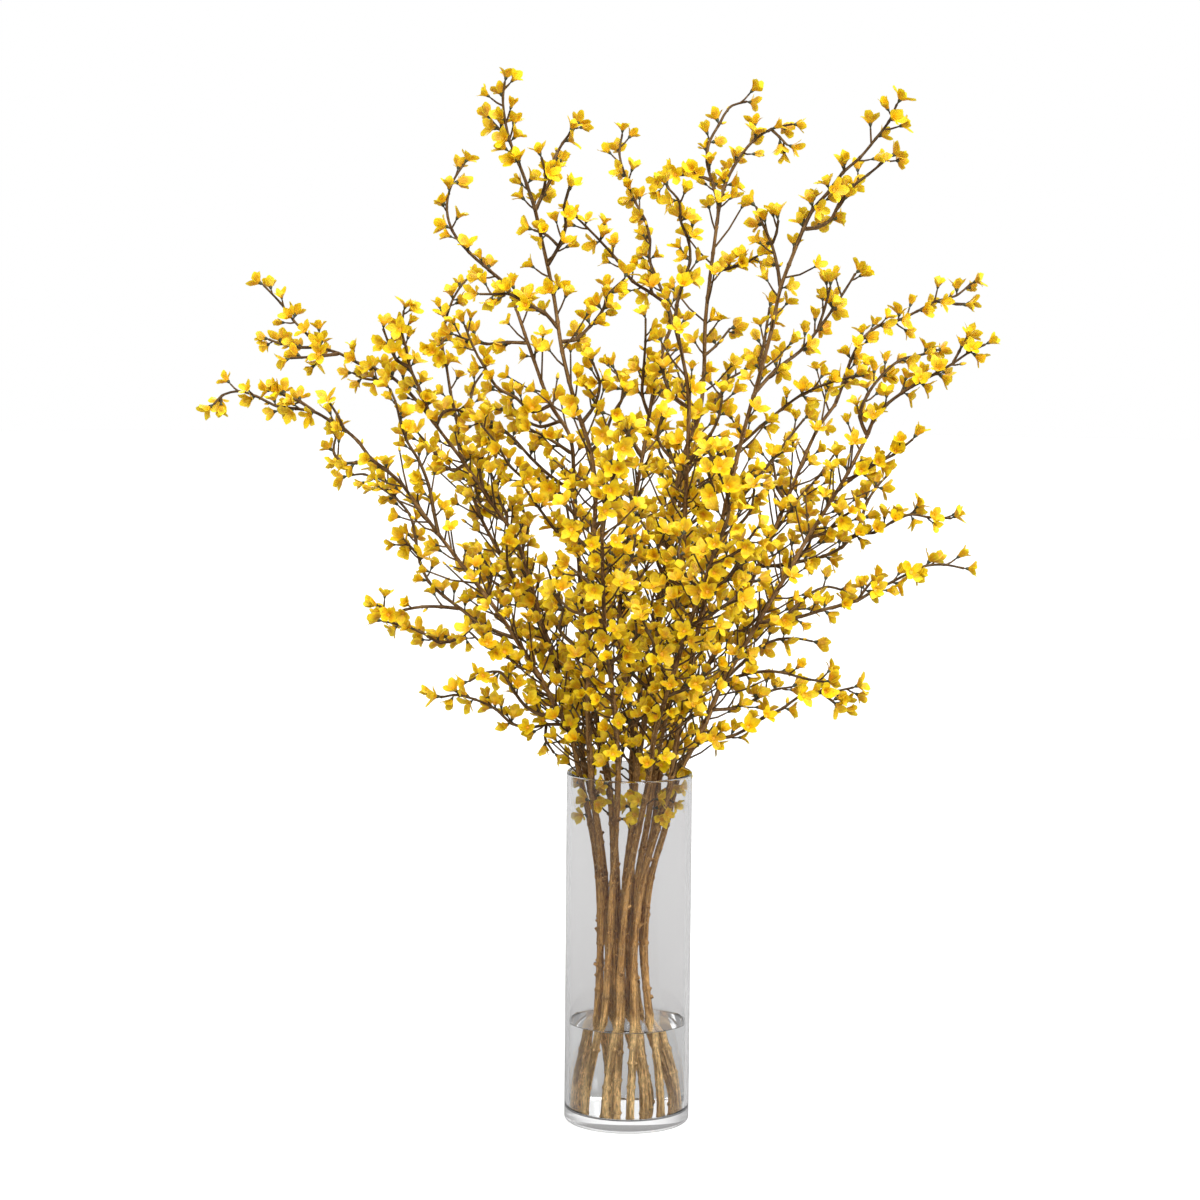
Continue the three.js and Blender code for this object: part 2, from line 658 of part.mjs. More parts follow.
// Balls that stand for a flower of size 1: how far along its axis and out from it, and how big.
const CUP_BALL = { rise: 6.5, radius: 4.4 };
const PETAL_BALLS = [
  { rise: 11.3, reach: 7.6, radius: 2.8, outer: false },
  { rise: 14.3, reach: 10.6, radius: 1.8, outer: true },
];

// A flower looks along its axis; its petals point forward and back from it.
function flowerFrom(base, axis, tangent, draw) {
  const forward = square(tangent, axis);
  const side = axis.clone().cross(forward);
  const spin = (draw() - 0.5) * SPIN_SPREAD;
  const size = SMALLEST_FLOWER + SIZE_SPREAD * draw();
  return { base, axis, forward, side, spin, size };
}

function petalWay(flower, turn) {
  const angle = turn + flower.spin;
  return offset(new THREE.Vector3(), Math.cos(angle), flower.forward, Math.sin(angle), flower.side);
}

function flowerBalls(flower) {
  const { base, axis, size } = flower;
  const cup = base.clone().addScaledVector(axis, CUP_BALL.rise * size);
  const balls = [{ centre: cup, radius: CUP_BALL.radius * size, outer: false }];
  for (let i = 0; i < PETALS; i += 1) {
    const way = petalWay(flower, (i * 2 * Math.PI) / PETALS);
    PETAL_BALLS.forEach(({ rise, reach, radius, outer }) => {
      const centre = offset(base, rise * size, axis, reach * size, way);
      balls.push({ centre, radius: radius * size, outer });
    });
  }
  return balls;
}

// Clear of the glass, above, inside or outside it.
const VASE_GAP = 1;

function clearOfVase(centre, radius) {
  if (centre.z - radius > VASE_HEIGHT + VASE_GAP) return true;
  const out = Math.sqrt(centre.x * centre.x + centre.y * centre.y);
  const inside = out + radius < VASE_RADIUS - VASE_WALL - VASE_GAP;
  return inside || out - radius > VASE_RADIUS + VASE_GAP;
}

// A flower grows from its twig's wood, so only its petals' tips must clear that.
function flowerFits(balls, twig) {
  const others = (ball) => ball.flower || ball.twig !== twig;
  const ownWood = (ball) => !ball.flower && ball.twig === twig;
  return balls.every(({ centre, radius, outer }) => (
    clearOfVase(centre, radius)
    && spaceRound(centre, radius, others) >= FLOWER_GAP
    && !(outer && spaceRound(centre, radius / 2, ownWood) < 0)
  ));
}

function tryFlower(path, index, base, axis, forward, draw) {
  const flower = flowerFrom(base, axis, forward, draw);
  const balls = flowerBalls(flower);
  if (!flowerFits(balls, path.twig)) return undefined;
  balls.forEach(({ centre, radius }) => noteBall(centre, radius, index, path.twig, true));
  return flower;
}

// Up to two flowers on the facets of the wood, just past one of its points. The foot is the
// corner of the flower's root that lies further along the wood.
function flowersOnNode(path, i, sides, index, draw) {
  const { u, v } = path.frames[i];
  const point = path.points[i];
  const onward = path.points[i + 1].clone().sub(point).normalize();
  const wanted = draw() < LONE_FLOWER ? 1 : 2;
  const inset = path.radii[i] * Math.cos(Math.PI / sides);
  const firstFacet = Math.floor(draw() * sides);
  const flowers = [];
  for (let s = 0; s < TWIG_SIDES && flowers.length < wanted; s += 1) {
    const facet = (firstFacet + Math.round((s * sides) / TWIG_SIDES)) % sides;
    const turn = ((facet + 0.5) * 2 * Math.PI) / sides;
    const out = square(offset(new THREE.Vector3(), Math.cos(turn), u, Math.sin(turn), v), onward);
    const base = offset(point, inset, out, NODE_LENGTH / 3, onward);
    const foot = offset(point, inset, out, NODE_LENGTH, onward);
    for (let attempt = 0; attempt < FLOWER_TRIES; attempt += 1) {
      const lean = radians((wanted === 1 ? LONE_LEAN : PAIR_LEAN) + LEAN_STEP * attempt);
      const axis = offset(new THREE.Vector3(), Math.sin(lean), out, Math.cos(lean), onward);
      const flower = tryFlower(path, index, base, axis, onward, draw);
      if (flower) {
        flowers.push({ ...flower, facet, foot });
        break;
      }
    }
  }
  return flowers;
}

function flowerOnTip(path, index, draw) {
  const { tangent, u, v } = path.frames.at(-1);
  for (let attempt = 0; attempt < FLOWER_TRIES; attempt += 1) {
    const tilt = [(draw() - 0.5) * TIP_TILT, (draw() - 0.5) * TIP_TILT];
    const axis = offset(tangent, tilt[0], u, tilt[1], v).normalize();
    const flower = tryFlower(path, index, path.points.at(-1), axis, u, draw);
    if (flower) return flower;
  }
  return undefined;
}

wood.forEach((paths, index) => {
  paths.forEach((path, number) => {
    const draw = seeded(FLOWER_SEED + 100 * index + number);
    const stem = number === 0;
    const sides = stem ? STEM_SIDES : TWIG_SIDES;
    const firstNode = stem ? BUNDLE.length + 1 : 1;
    const bare = stem ? BARE_STEM_NODE : BARE_NODE;
    if (stem) {
      path.frames = framesAlong(path.points, 0, new THREE.Vector3(0, 0, 1));
    } else {
      path.frames = framesAlong(path.points, draw() * 2 * Math.PI);
      path.tip = flowerOnTip(path, index, draw);
    }
    path.nodes = path.points.map((point, i) => {
      const flowering = i >= firstNode && i < path.points.length - 1 && draw() >= bare;
      return flowering ? flowersOnNode(path, i, sides, index, draw) : [];
    });
  });
});

// ---- Closed surfaces ----

class Surface {
  vertices = [];

  triangles = [];

  add(point) {
    this.vertices.push(point);
    return this.vertices.length - 1;
  }

  face(a, b, c) {
    this.triangles.push(a, b, c);
  }

  ring(centre, { u, v }, radius, sides) {
    return Array.from({ length: sides }, (_, k) => {
      const angle = (k * 2 * Math.PI) / sides;
      return this.add(offset(centre, Math.cos(angle) * radius, u, Math.sin(angle) * radius, v));
    });
  }

  // The wall between two rings. A side with a foot, a point a little way up it, is left open
  // between its lower edge and that point.
  wall(low, high, feet = []) {
    low.forEach((_, k) => {
      const next = (k + 1) % low.length;
      const foot = feet[k];
      if (foot === undefined) {
        this.face(low[k], low[next], high[next]);
        this.face(low[k], high[next], high[k]);
      } else {
        this.face(low[next], high[next], foot);
        this.face(foot, high[next], high[k]);
        this.face(low[k], foot, high[k]);
      }
    });
  }

  cap(ring) {
    for (let k = 1; k < ring.length - 1; k += 1) this.face(ring[0], ring[k], ring[k + 1]);
  }

  solid() {
    const vertProperties = new Float32Array(this.vertices.flatMap((point) => point.toArray()));
    const triVerts = new Uint32Array(this.triangles);
    return new wasm.Manifold(new wasm.Mesh({ numProp: 3, vertProperties, triVerts }));
  }
}

// A flower closes the three-cornered opening that a ring leaves in the twig, the first corner
// lying towards its forward petal: a cup that widens to the two points where the petals part,
// and a petal on either side of the line between them.
function growFlower(surface, [front, left, right], flower) {
  const { base, axis, size } = flower;
  const [tip, parting, backTip, backParting] = [0, 1, 2, 3].map((j) => {
    const way = petalWay(flower, (j * Math.PI) / PETALS);
    const [reach, rise] = j % 2 ? [CUP_REACH, CUP_RISE] : [PETAL_REACH, PETAL_RISE];
    return surface.add(offset(base, rise * size, axis, reach * size, way));
  });
  surface.face(front, parting, tip);
  surface.face(front, left, parting);
  surface.face(left, backTip, parting);
  surface.face(left, right, backTip);
  surface.face(right, backParting, backTip);
  surface.face(right, front, backParting);
  surface.face(front, tip, backParting);
  surface.face(backParting, tip, parting);
  surface.face(parting, backTip, backParting);
}

// Wood with the flowers that sit on it, closed at its foot and at its tip.
function woodSolid({ points, radii, frames, nodes, tip }, sides) {
  const surface = new Surface();
  const rings = points.map((point, i) => surface.ring(point, frames[i], radii[i], sides));
  surface.cap([...rings[0]].reverse());
  rings.slice(1).forEach((high, i) => {
    const low = rings[i];
    const feet = [];
    nodes[i].forEach(({ facet, foot }) => {
      feet[facet] = surface.add(foot);
    });
    surface.wall(low, high, feet);
    nodes[i].forEach((flower) => {
      const { facet } = flower;
      growFlower(surface, [feet[facet], low[facet], low[(facet + 1) % sides]], flower);
    });
  });
  if (tip) {
    growFlower(surface, rings.at(-1), tip);
  } else {
    surface.cap(rings.at(-1));
  }
  return surface.solid();
}

// ---- Pieces ----

const SLIVER = 0.05; // edges shorter than this are closed up after joining

function geometryOf(solid) {
  const mesh = solid.simplify(SLIVER).getMesh();
  const geometry = new THREE.BufferGeometry();
  geometry.setAttribute("position", new THREE.BufferAttribute(mesh.vertProperties, 3));
  geometry.setIndex(new THREE.BufferAttribute(mesh.triVerts, 1));
  geometry.computeVertexNormals();
  return geometry;
}

function turned(profile) {
  const outline = profile.map(([radius, height]) => new THREE.Vector2(radius, height));
  const lathe = new THREE.LatheGeometry(outline, VASE_SEGMENTS).rotateX(Math.PI / 2);
  lathe.deleteAttribute("normal");
  lathe.deleteAttribute("uv");
  const merged = mergeVertices(lathe, 1e-3);
  const vertProperties = new Float32Array(merged.attributes.position.array);
  const triVerts = new Uint32Array(merged.index.array);
  return new wasm.Manifold(new wasm.Mesh({ numProp: 3, vertProperties, triVerts }));
}

function vaseSolid() {
  const inner = VASE_RADIUS - VASE_WALL;
  return turned([
    [0, 0],
    [VASE_RADIUS - VASE_EDGE, 0],
    [VASE_RADIUS, VASE_EDGE],
    [VASE_RADIUS, VASE_HEIGHT - VASE_LIP],
    [VASE_RADIUS - VASE_LIP, VASE_HEIGHT],
    [inner + VASE_LIP, VASE_HEIGHT],
    [inner, VASE_HEIGHT - VASE_LIP],
    [inner, VASE_FLOOR + VASE_EDGE],
    [inner - VASE_EDGE, VASE_FLOOR],
    [0, VASE_FLOOR],
  ]);
}

// The water fills the foot of the vase, and each stem stands in a plain hole in it, which starts
// a little below the stem's foot.
const HOLE_START = 0.03; // as a share of the step to the stem's next point

function waterSolid() {
  const inner = VASE_RADIUS - VASE_WALL - SEAT_GAP;
  const floor = VASE_FLOOR + SEAT_GAP;
  const filled = turned([
    [0, floor],
    [inner - VASE_EDGE, floor],
    [inner, floor + VASE_EDGE],
    [inner, WATER_TOP],
    [0, WATER_TOP],
  ]);
  return wood.reduce((water, [stem]) => {
    const rows = BUNDLE.filter(([height]) => height < VASE_HEIGHT / 2).length;
    const points = stem.points.slice(0, rows);
    points[0] = points[0].clone().lerp(points[1], -HOLE_START);
    const radii = stem.radii.map((radius) => radius + SEAT_GAP);
    return water.subtract(woodSolid({ ...stem, points, radii }, STEM_SIDES));
  }, filled);
}

function branchSolid([stem, ...twigs]) {
  const trunk = woodSolid(stem, STEM_SIDES);
  return twigs.reduce((solid, twig) => solid.add(woodSolid(twig, TWIG_SIDES)), trunk);
}

function piece(name, solid, look) {
  const material = new THREE.MeshStandardMaterial({ flatShading: true, ...look });
  const mesh = new THREE.Mesh(geometryOf(solid), material);
  mesh.name = name;
  return mesh;
}

const GLASS = { color: 0xdfe6e8, roughness: 0.03, metalness: 0, transparent: true, opacity: 0.35 };
const WATER = { color: 0xd3e4ea, roughness: 0.02, metalness: 0, transparent: true, opacity: 0.5 };
const FORSYTHIA = { color: 0xefc112, roughness: 0.7, metalness: 0 };

const arrangement = new THREE.Group();
arrangement.add(piece("glass_vase", vaseSolid(), GLASS));
arrangement.add(piece("water", waterSolid(), WATER));
BRANCHES.forEach(({ name }, index) => {
  arrangement.add(piece(name, branchSolid(wood[index]), FORSYTHIA));
});

export default arrangement;
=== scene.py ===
import math

import bmesh
import bpy
from mathutils import Matrix, Vector


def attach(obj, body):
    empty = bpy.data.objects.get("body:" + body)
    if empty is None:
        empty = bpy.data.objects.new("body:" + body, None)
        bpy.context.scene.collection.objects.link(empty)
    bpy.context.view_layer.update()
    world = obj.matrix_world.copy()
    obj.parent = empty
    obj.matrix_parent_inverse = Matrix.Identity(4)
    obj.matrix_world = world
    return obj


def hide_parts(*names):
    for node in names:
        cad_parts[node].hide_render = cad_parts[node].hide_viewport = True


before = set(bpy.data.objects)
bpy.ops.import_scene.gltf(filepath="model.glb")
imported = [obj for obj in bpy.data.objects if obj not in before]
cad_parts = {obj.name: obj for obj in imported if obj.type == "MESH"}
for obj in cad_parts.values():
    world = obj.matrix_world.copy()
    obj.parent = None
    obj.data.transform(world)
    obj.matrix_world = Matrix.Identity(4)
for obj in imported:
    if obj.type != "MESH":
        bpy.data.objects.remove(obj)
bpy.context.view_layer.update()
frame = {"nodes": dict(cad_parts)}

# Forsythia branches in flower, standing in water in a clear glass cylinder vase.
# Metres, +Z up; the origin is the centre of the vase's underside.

# ---- Glass vase ----
# A straight cylinder of clear soda glass, pressed with a thick foot. The rim is fire-polished
# round, and the wall turns into the foot inside with a soft corner.

VASE_RADIUS = 0.076
VASE_HEIGHT = 0.430
VASE_WALL = 0.005
VASE_FLOOR = 0.014
FOOT_EDGE = 0.004  # rounding under the foot
INNER_EDGE = 0.006  # rounding where the wall meets the floor inside
HOLD = 0.0006  # a ring this near each rounded corner keeps the flat walls flat in the shading
VASE_SEGMENTS = 128
CORNER_STEPS = 8
RIM_STEPS = 12
SHARP_ANGLE = 35  # degrees
GLASS_TINT = (0.965, 0.96, 0.96, 1)
GLASS_IOR = 1.5
GLASS_SHEEN = (0.4, 0.4, 0.4, 1)  # how much of the studio it mirrors face on
GLASS_RIPPLE_SCALE = 9
GLASS_RELIEF = (0.15, 0.002)  # strength and depth, as in the other reliefs
GLASS_BLUR = (0.4, 0.8, 0, 0.02)  # from two values of the ripple to two of the roughness


def add(tree, kind, inputs=None, output=0, **settings):
    """One output of a new node. A socket given for an input is linked to it, a value is set."""
    made = tree.nodes.new(kind)
    for key, value in settings.items():
        setattr(made, key, value)
    for key, value in (inputs or {}).items():
        if isinstance(value, bpy.types.NodeSocket):
            tree.links.new(value, made.inputs[key])
        else:
            made.inputs[key].default_value = value
    return made.outputs[output]


def finish(name, **values):
    """A new material with only its Principled shader, and that shader's node tree."""
    made = bpy.data.materials.new(name)
    made.use_nodes = True
    shader = made.node_tree.nodes["Principled BSDF"]
    for key, value in values.items():
        shader.inputs[key.replace("_", " ")].default_value = value
    return made, made.node_tree, shader


def object_place(tree):
    """Where a point lies on its own piece."""
    return add(tree, "ShaderNodeTexCoord", output="Object")


def noise(tree, where, scale, detail, roughness=0.5):
    """Soft noise between 0 and 1."""
    return add(tree, "ShaderNodeTexNoise", {
        "Vector": where, "Scale": scale, "Detail": detail, "Roughness": roughness,
    }, "Fac")


def ranged(tree, value, low, high, to_low=0, to_high=1, **settings):
    """A value taken from one range to another, and held inside it."""
    return add(tree, "ShaderNodeMapRange", {
        "Value": value, "From Min": low, "From Max": high, "To Min": to_low, "To Max": to_high,
    }, **settings)


def bump(tree, shader, height, strength, depth):
    """Gives a shader a relief."""
    relief = {"Height": height, "Strength": strength, "Distance": depth}
    tree.links.new(add(tree, "ShaderNodeBump", relief), shader.inputs["Normal"])


def placed(name, data):
    """A new object in the scene."""
    made = bpy.data.objects.new(name, data)
    bpy.context.scene.collection.objects.link(made)
    return made


def shell_object(name, shell, sharp_angle=180):
    """A smooth object made from a shell, sharp only where it turns by more than an angle."""
    mesh = bpy.data.meshes.new(name)
    shell.to_mesh(mesh)
    shell.free()
    mesh.shade_smooth()
    if sharp_angle < 180:
        mesh.set_sharp_from_angle(angle=math.radians(sharp_angle))
    return placed(name, mesh)


def arc(centre, radius, start, end, steps):
    """Points of an arc in a turned outline, from one angle to another in degrees."""
    turns = [math.radians(start + (end - start) * i / steps) for i in range(steps + 1)]
    return [(centre[0] + radius * math.cos(t), centre[1] + radius * math.sin(t)) for t in turns]


def turned(name, outline):
    """A smooth closed piece turned about the Z axis from an outline that starts and ends on it."""
    shell = bmesh.new()
    turns = [math.tau * k / VASE_SEGMENTS for k in range(VASE_SEGMENTS)]
    rings = []
    for radius, height in outline:
        rings.append([
            shell.verts.new((radius * math.cos(t), radius * math.sin(t), height))
            for t in (turns if radius else turns[:1])
        ])
    for low, high in zip(rings, rings[1:]):
        for k in range(VASE_SEGMENTS):
            after = (k + 1) % VASE_SEGMENTS
            if len(low) == 1:
                shell.faces.new((low[0], high[after], high[k]))
            elif len(high) == 1:
                shell.faces.new((low[k], low[after], high[0]))
            else:
                shell.faces.new((low[k], low[after], high[after], high[k]))
    return shell_object(name, shell, SHARP_ANGLE)


glass, tree, shader = finish(
    "clear glass", Base_Color=GLASS_TINT, IOR=GLASS_IOR, Specular_Tint=GLASS_SHEEN,
    Transmission_Weight=1,
)
ripple = noise(tree, object_place(tree), GLASS_RIPPLE_SCALE, 1)
tree.links.new(ranged(tree, ripple, *GLASS_BLUR), shader.inputs["Roughness"])
bump(tree, shader, ripple, *GLASS_RELIEF)

inner_radius = VASE_RADIUS - VASE_WALL
rim_radius = VASE_WALL / 2
rim_centre = (VASE_RADIUS - rim_radius, VASE_HEIGHT - rim_radius)
foot_centre = (VASE_RADIUS - FOOT_EDGE, FOOT_EDGE)
corner_centre = (inner_radius - INNER_EDGE, VASE_FLOOR + INNER_EDGE)
vase = turned("glass_vase_clear", [
    (0, 0),
    (foot_centre[0] - HOLD, 0),
    *arc(foot_centre, FOOT_EDGE, -90, 0, CORNER_STEPS),
    (VASE_RADIUS, foot_centre[1] + HOLD),
    (VASE_RADIUS, rim_centre[1] - HOLD),
    *arc(rim_centre, rim_radius, 0, 180, RIM_STEPS),
    (inner_radius, rim_centre[1] - HOLD),
    (inner_radius, corner_centre[1] + HOLD),
    *arc(corner_centre, INNER_EDGE, 0, -90, CORNER_STEPS),
    (corner_centre[0] - HOLD, VASE_FLOOR),
    (0, VASE_FLOOR),
])
vase.data.materials.append(glass)
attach(vase, "root")
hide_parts("glass_vase")

# ---- Water ----
# Plain tap water in the vase's lowest quarter. It wets the glass, so its surface climbs a
# little where it meets the wall.

WATER_TOP = 0.122
WATER_GAP = 0.0003  # between the water and the glass, as in the solids
MENISCUS_RISE = 0.0018
MENISCUS_REACH = 0.0045
MENISCUS_SHARES = (1, 0.9, 0.75, 0.55, 0.3, 0)  # of its reach, from the wall inwards
WATER_TINT = (0.97, 0.985, 0.985, 1)
WATER_IOR = 1.28
WATER_RIPPLE_SCALE = 22
WATER_RELIEF = (0.08, 0.001)

clear_water, tree, shader = finish(
    "still water", Base_Color=WATER_TINT, IOR=WATER_IOR, Transmission_Weight=1, Roughness=0,
)
ripple = noise(tree, object_place(tree), WATER_RIPPLE_SCALE, 2)
bump(tree, shader, ripple, *WATER_RELIEF)

water_radius = inner_radius - WATER_GAP
water_floor = VASE_FLOOR + WATER_GAP
water_edge = INNER_EDGE - WATER_GAP
water_corner = (water_radius - water_edge, water_floor + water_edge)
meniscus = [
    (water_radius - MENISCUS_REACH * (1 - share), WATER_TOP + MENISCUS_RISE * share**3)
    for share in MENISCUS_SHARES
]
water = turned("water_clear", [
    (0, water_floor),
    (water_corner[0] - HOLD, water_floor),
    *arc(water_corner, water_edge, -90, 0, CORNER_STEPS),
    (water_radius, water_corner[1] + HOLD),
    *meniscus,
    (meniscus[-1][0] - HOLD, WATER_TOP),
    (0, WATER_TOP),
])
water.data.materials.append(clear_water)
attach(water, "root")
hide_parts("water")

# ---- Where each branch stands and runs ----
# Cut forsythia stems, set out in a loose twist so that they cross in the vase and fan out above
# its rim. Each stem is one cut branch, and its twigs and short shoots have grown from it.

# The lengths of the branches and flowers are in millimetres, but those inside node trees are in
# metres. A point given as (x, z) lies in the plane y = 0 as this eye sees it, and is pushed along
# the line of sight to its own depth.
MM = 0.001
EYE = (-37.5, -4000, 1120)
RIM = VASE_HEIGHT / MM

# Height, scale of the stems' pattern at the rim, its turn in degrees and its shift along X.
BUNDLE = [
    (VASE_FLOOR / MM + 0.3, 0.8, -50, 0),
    (126, 0.54, -34, -4),
    (220, 0.45, -22, -7),
    (300, 0.52, -13, -5),
    (365, 0.74, -6, -1),
    (RIM, 1, 0, 0),
]

BRANCHES = []


def cut_branch(name, seat, depth, shoots, stem, *twigs):
    """Notes a cut branch: its name, where its stem passes the rim as (x, y), the y of the stem's
    upper end, how many short side shoots are drawn along it, and its points above the rim. The
    rest are its twigs. Each is how far it leans back (or forward, if negative) over its length,
    then its points, the first of which lies on older wood."""
    BRANCHES.append({
        "name": name, "seat": seat, "depth": depth, "shoots": shoots, "stem": stem, "twigs": twigs,
    })


cut_branch(
    "branch_far_left", (-61, -9), -40, 0,
    [(-72, 475), (-88, 505), (-110, 545), (-132, 580), (-160, 622), (-195, 668),
        (-232, 716), (-276, 776)],
    [-35, (-276, 776), (-294, 792), (-312, 805), (-328, 826), (-345, 841), (-362, 851),
        (-380, 861), (-403, 865), (-426, 868), (-449, 879), (-470, 885), (-490, 880), (-500, 870)],
    [30, (-312, 805), (-330, 801), (-346, 801), (-357, 812), (-353, 838)],
    [25, (-380, 861), (-397, 873), (-416, 881), (-430, 886)],
    [-25, (-345, 841), (-352, 856), (-362, 872)],
    [70, (-140, 590), (-165, 600), (-185, 610), (-205, 626), (-225, 641), (-243, 658),
        (-254, 682), (-259, 708), (-266, 738), (-283, 759), (-303, 778), (-321, 787), (-340, 785)],
    [20, (-283, 759), (-293, 776), (-302, 790)],
    [-45, (-205, 626), (-228, 628), (-250, 628), (-272, 624), (-290, 617), (-302, 628)],
    [35, (-185, 610), (-208, 590), (-230, 585), (-252, 597), (-278, 606), (-298, 610)],
    [-20, (-256, 690), (-264, 699), (-272, 708)],
    [-60, (-232, 716), (-238, 745), (-244, 775), (-255, 803), (-270, 828), (-278, 852),
        (-284, 875), (-290, 889)],
    [-70, (-88, 505), (-106, 498), (-126, 508), (-141, 527), (-157, 549), (-176, 548),
        (-194, 538)],
    [-60, (-115, 552), (-134, 556), (-152, 572), (-174, 580), (-192, 596)],
    [60, (-160, 622), (-172, 642), (-168, 666), (-180, 690)],
    [-12, (-70, 462), (-58, 446), (-47, 424), (-40, 404)],
)
cut_branch(
    "branch_high_left", (-55, 29), 90, 1,
    [(-62, 475), (-73, 512), (-88, 552), (-102, 592), (-114, 632), (-125, 672),
        (-142, 717), (-170, 756), (-200, 800), (-235, 846)],
    [40, (-235, 846), (-250, 866), (-267, 885), (-286, 902), (-307, 913), (-328, 920),
        (-350, 931), (-372, 939), (-388, 953), (-405, 970), (-420, 990), (-440, 1011)],
    [-25, (-350, 931), (-372, 928), (-394, 926), (-408, 925)],
    [20, (-372, 939), (-398, 938), (-420, 942), (-434, 947)],
    [25, (-286, 902), (-305, 900), (-322, 902), (-334, 908)],
    [-40, (-200, 800), (-214, 793), (-228, 800), (-240, 818), (-255, 835)],
    [-60, (-240, 852), (-246, 868), (-256, 892), (-266, 915), (-271, 939), (-276, 958),
        (-274, 982)],
    [-25, (-266, 915), (-282, 924), (-291, 942), (-298, 960)],
    [50, (-235, 846), (-226, 862), (-210, 865), (-192, 856)],
    [60, (-170, 756), (-180, 778), (-182, 802), (-172, 826), (-176, 850)],
    [-60, (-88, 552), (-106, 562), (-118, 580), (-136, 592)],
    [-70, (-118, 645), (-136, 656), (-148, 677), (-150, 702)],
)
cut_branch(
    "branch_back_left", (-31, 54), 210, 2,
    [(-42, 475), (-64, 520), (-86, 562), (-106, 602), (-128, 642), (-152, 684),
        (-181, 736), (-200, 792)],
    [60, (-200, 792), (-205, 822), (-211, 855), (-218, 887), (-223, 918), (-228, 945),
        (-224, 970), (-216, 995), (-206, 1012), (-198, 1021)],
    [-25, (-223, 918), (-233, 926), (-244, 934)],
    [50, (-211, 855), (-196, 872), (-190, 894), (-178, 912)],
    [-60, (-181, 736), (-168, 756), (-160, 782), (-164, 806)],
    [60, (-152, 684), (-134, 706), (-128, 732), (-132, 756)],
    [70, (-128, 642), (-150, 650), (-172, 664), (-186, 684)],
)
cut_branch(
    "branch_tall_back_left", (-27, 4), 60, 0,
    [(-36, 475), (-48, 520), (-56, 570), (-60, 620), (-62, 670), (-67, 727), (-70, 784),
        (-75, 834), (-98, 872), (-120, 929), (-140, 986)],
    [55, (-140, 986), (-151, 1012), (-172, 1031), (-196, 1052), (-217, 1079), (-223, 1105),
        (-217, 1133), (-203, 1156)],
    [35, (-127, 945), (-150, 946), (-175, 944), (-195, 948), (-212, 954)],
    [-45, (-98, 872), (-120, 864), (-140, 880), (-162, 892), (-177, 915), (-190, 938),
        (-201, 965)],
    [50, (-86, 853), (-110, 846), (-134, 856), (-154, 866)],
    [-50, (-73, 814), (-88, 824), (-105, 834), (-121, 842)],
    [60, (-70, 768), (-97, 786), (-122, 809), (-143, 832), (-165, 849), (-186, 855)],
    [-70, (-68, 740), (-97, 768), (-124, 780), (-147, 799), (-162, 824), (-180, 846)],
    [-60, (-64, 692), (-90, 720), (-110, 746), (-127, 770)],
    [-50, (-60, 600), (-80, 622), (-92, 648), (-100, 674)],
    [-60, (-40, 490), (-66, 486), (-101, 486), (-122, 482), (-143, 487), (-162, 504),
        (-188, 516), (-212, 521), (-228, 518)],
    [-12, (-101, 486), (-102, 468), (-92, 452)],
)
cut_branch(
    "branch_tallest", (-46, -42), -170, 0,
    [(-50, 475), (-52, 525), (-52, 580), (-50, 635), (-48, 690), (-44, 760), (-50, 816),
        (-68, 870), (-85, 936), (-96, 1004), (-113, 1080)],
    [-30, (-113, 1080), (-119, 1106), (-128, 1132), (-138, 1158), (-148, 1182), (-154, 1206),
        (-157, 1232), (-155, 1252)],
    [15, (-148, 1182), (-160, 1196), (-171, 1208)],
    [55, (-118, 1102), (-110, 1120), (-100, 1140), (-96, 1162), (-86, 1182), (-70, 1202)],
    [-25, (-110, 1120), (-106, 1142), (-111, 1164)],
    [-50, (-103, 1037), (-90, 1060), (-82, 1084), (-84, 1106), (-79, 1127)],
    [-15, (-90, 1060), (-104, 1073), (-119, 1079)],
    [60, (-88, 947), (-70, 950), (-52, 966), (-38, 984), (-30, 1004), (-12, 1022)],
    [-45, (-90, 962), (-106, 981), (-128, 992), (-148, 1003), (-166, 1003), (-183, 1003)],
    [-60, (-50, 816), (-34, 836), (-24, 862), (-10, 884)],
    [-40, (-62, 850), (-46, 872), (-40, 898), (-48, 922)],
    [-70, (-46, 725), (-30, 742), (-20, 768), (-26, 794), (-12, 812)],
    [-70, (-50, 635), (-34, 648), (-24, 668), (-30, 692), (-16, 708)],
    [-60, (-52, 570), (-70, 584), (-86, 602), (-82, 626), (-94, 646)],
)
cut_branch(
    "branch_back_centre", (4, 28), 190, 2,
    [(4, 475), (-3, 520), (-12, 570), (-14, 625), (-8, 680), (0, 740), (10, 800),
        (18, 850), (24, 890), (38, 950)],
    [70, (38, 950), (45, 970), (40, 992), (28, 1020), (18, 1045), (18, 1069), (12, 1092),
        (0, 1114), (-11, 1142), (-19, 1170), (-16, 1192)],
    [-60, (40, 992), (20, 1006), (-2, 1020), (-20, 1044), (-40, 1066), (-58, 1084),
        (-74, 1099)],
    [-40, (19, 860), (11, 885), (12, 912), (14, 947), (14, 975)],
    [60, (0, 740), (-20, 762), (-34, 790), (-30, 820)],
    [50, (12, 812), (-6, 838), (-18, 862), (-12, 890), (-22, 914)],
    [60, (-12, 640), (8, 662), (22, 690), (18, 716)],
)
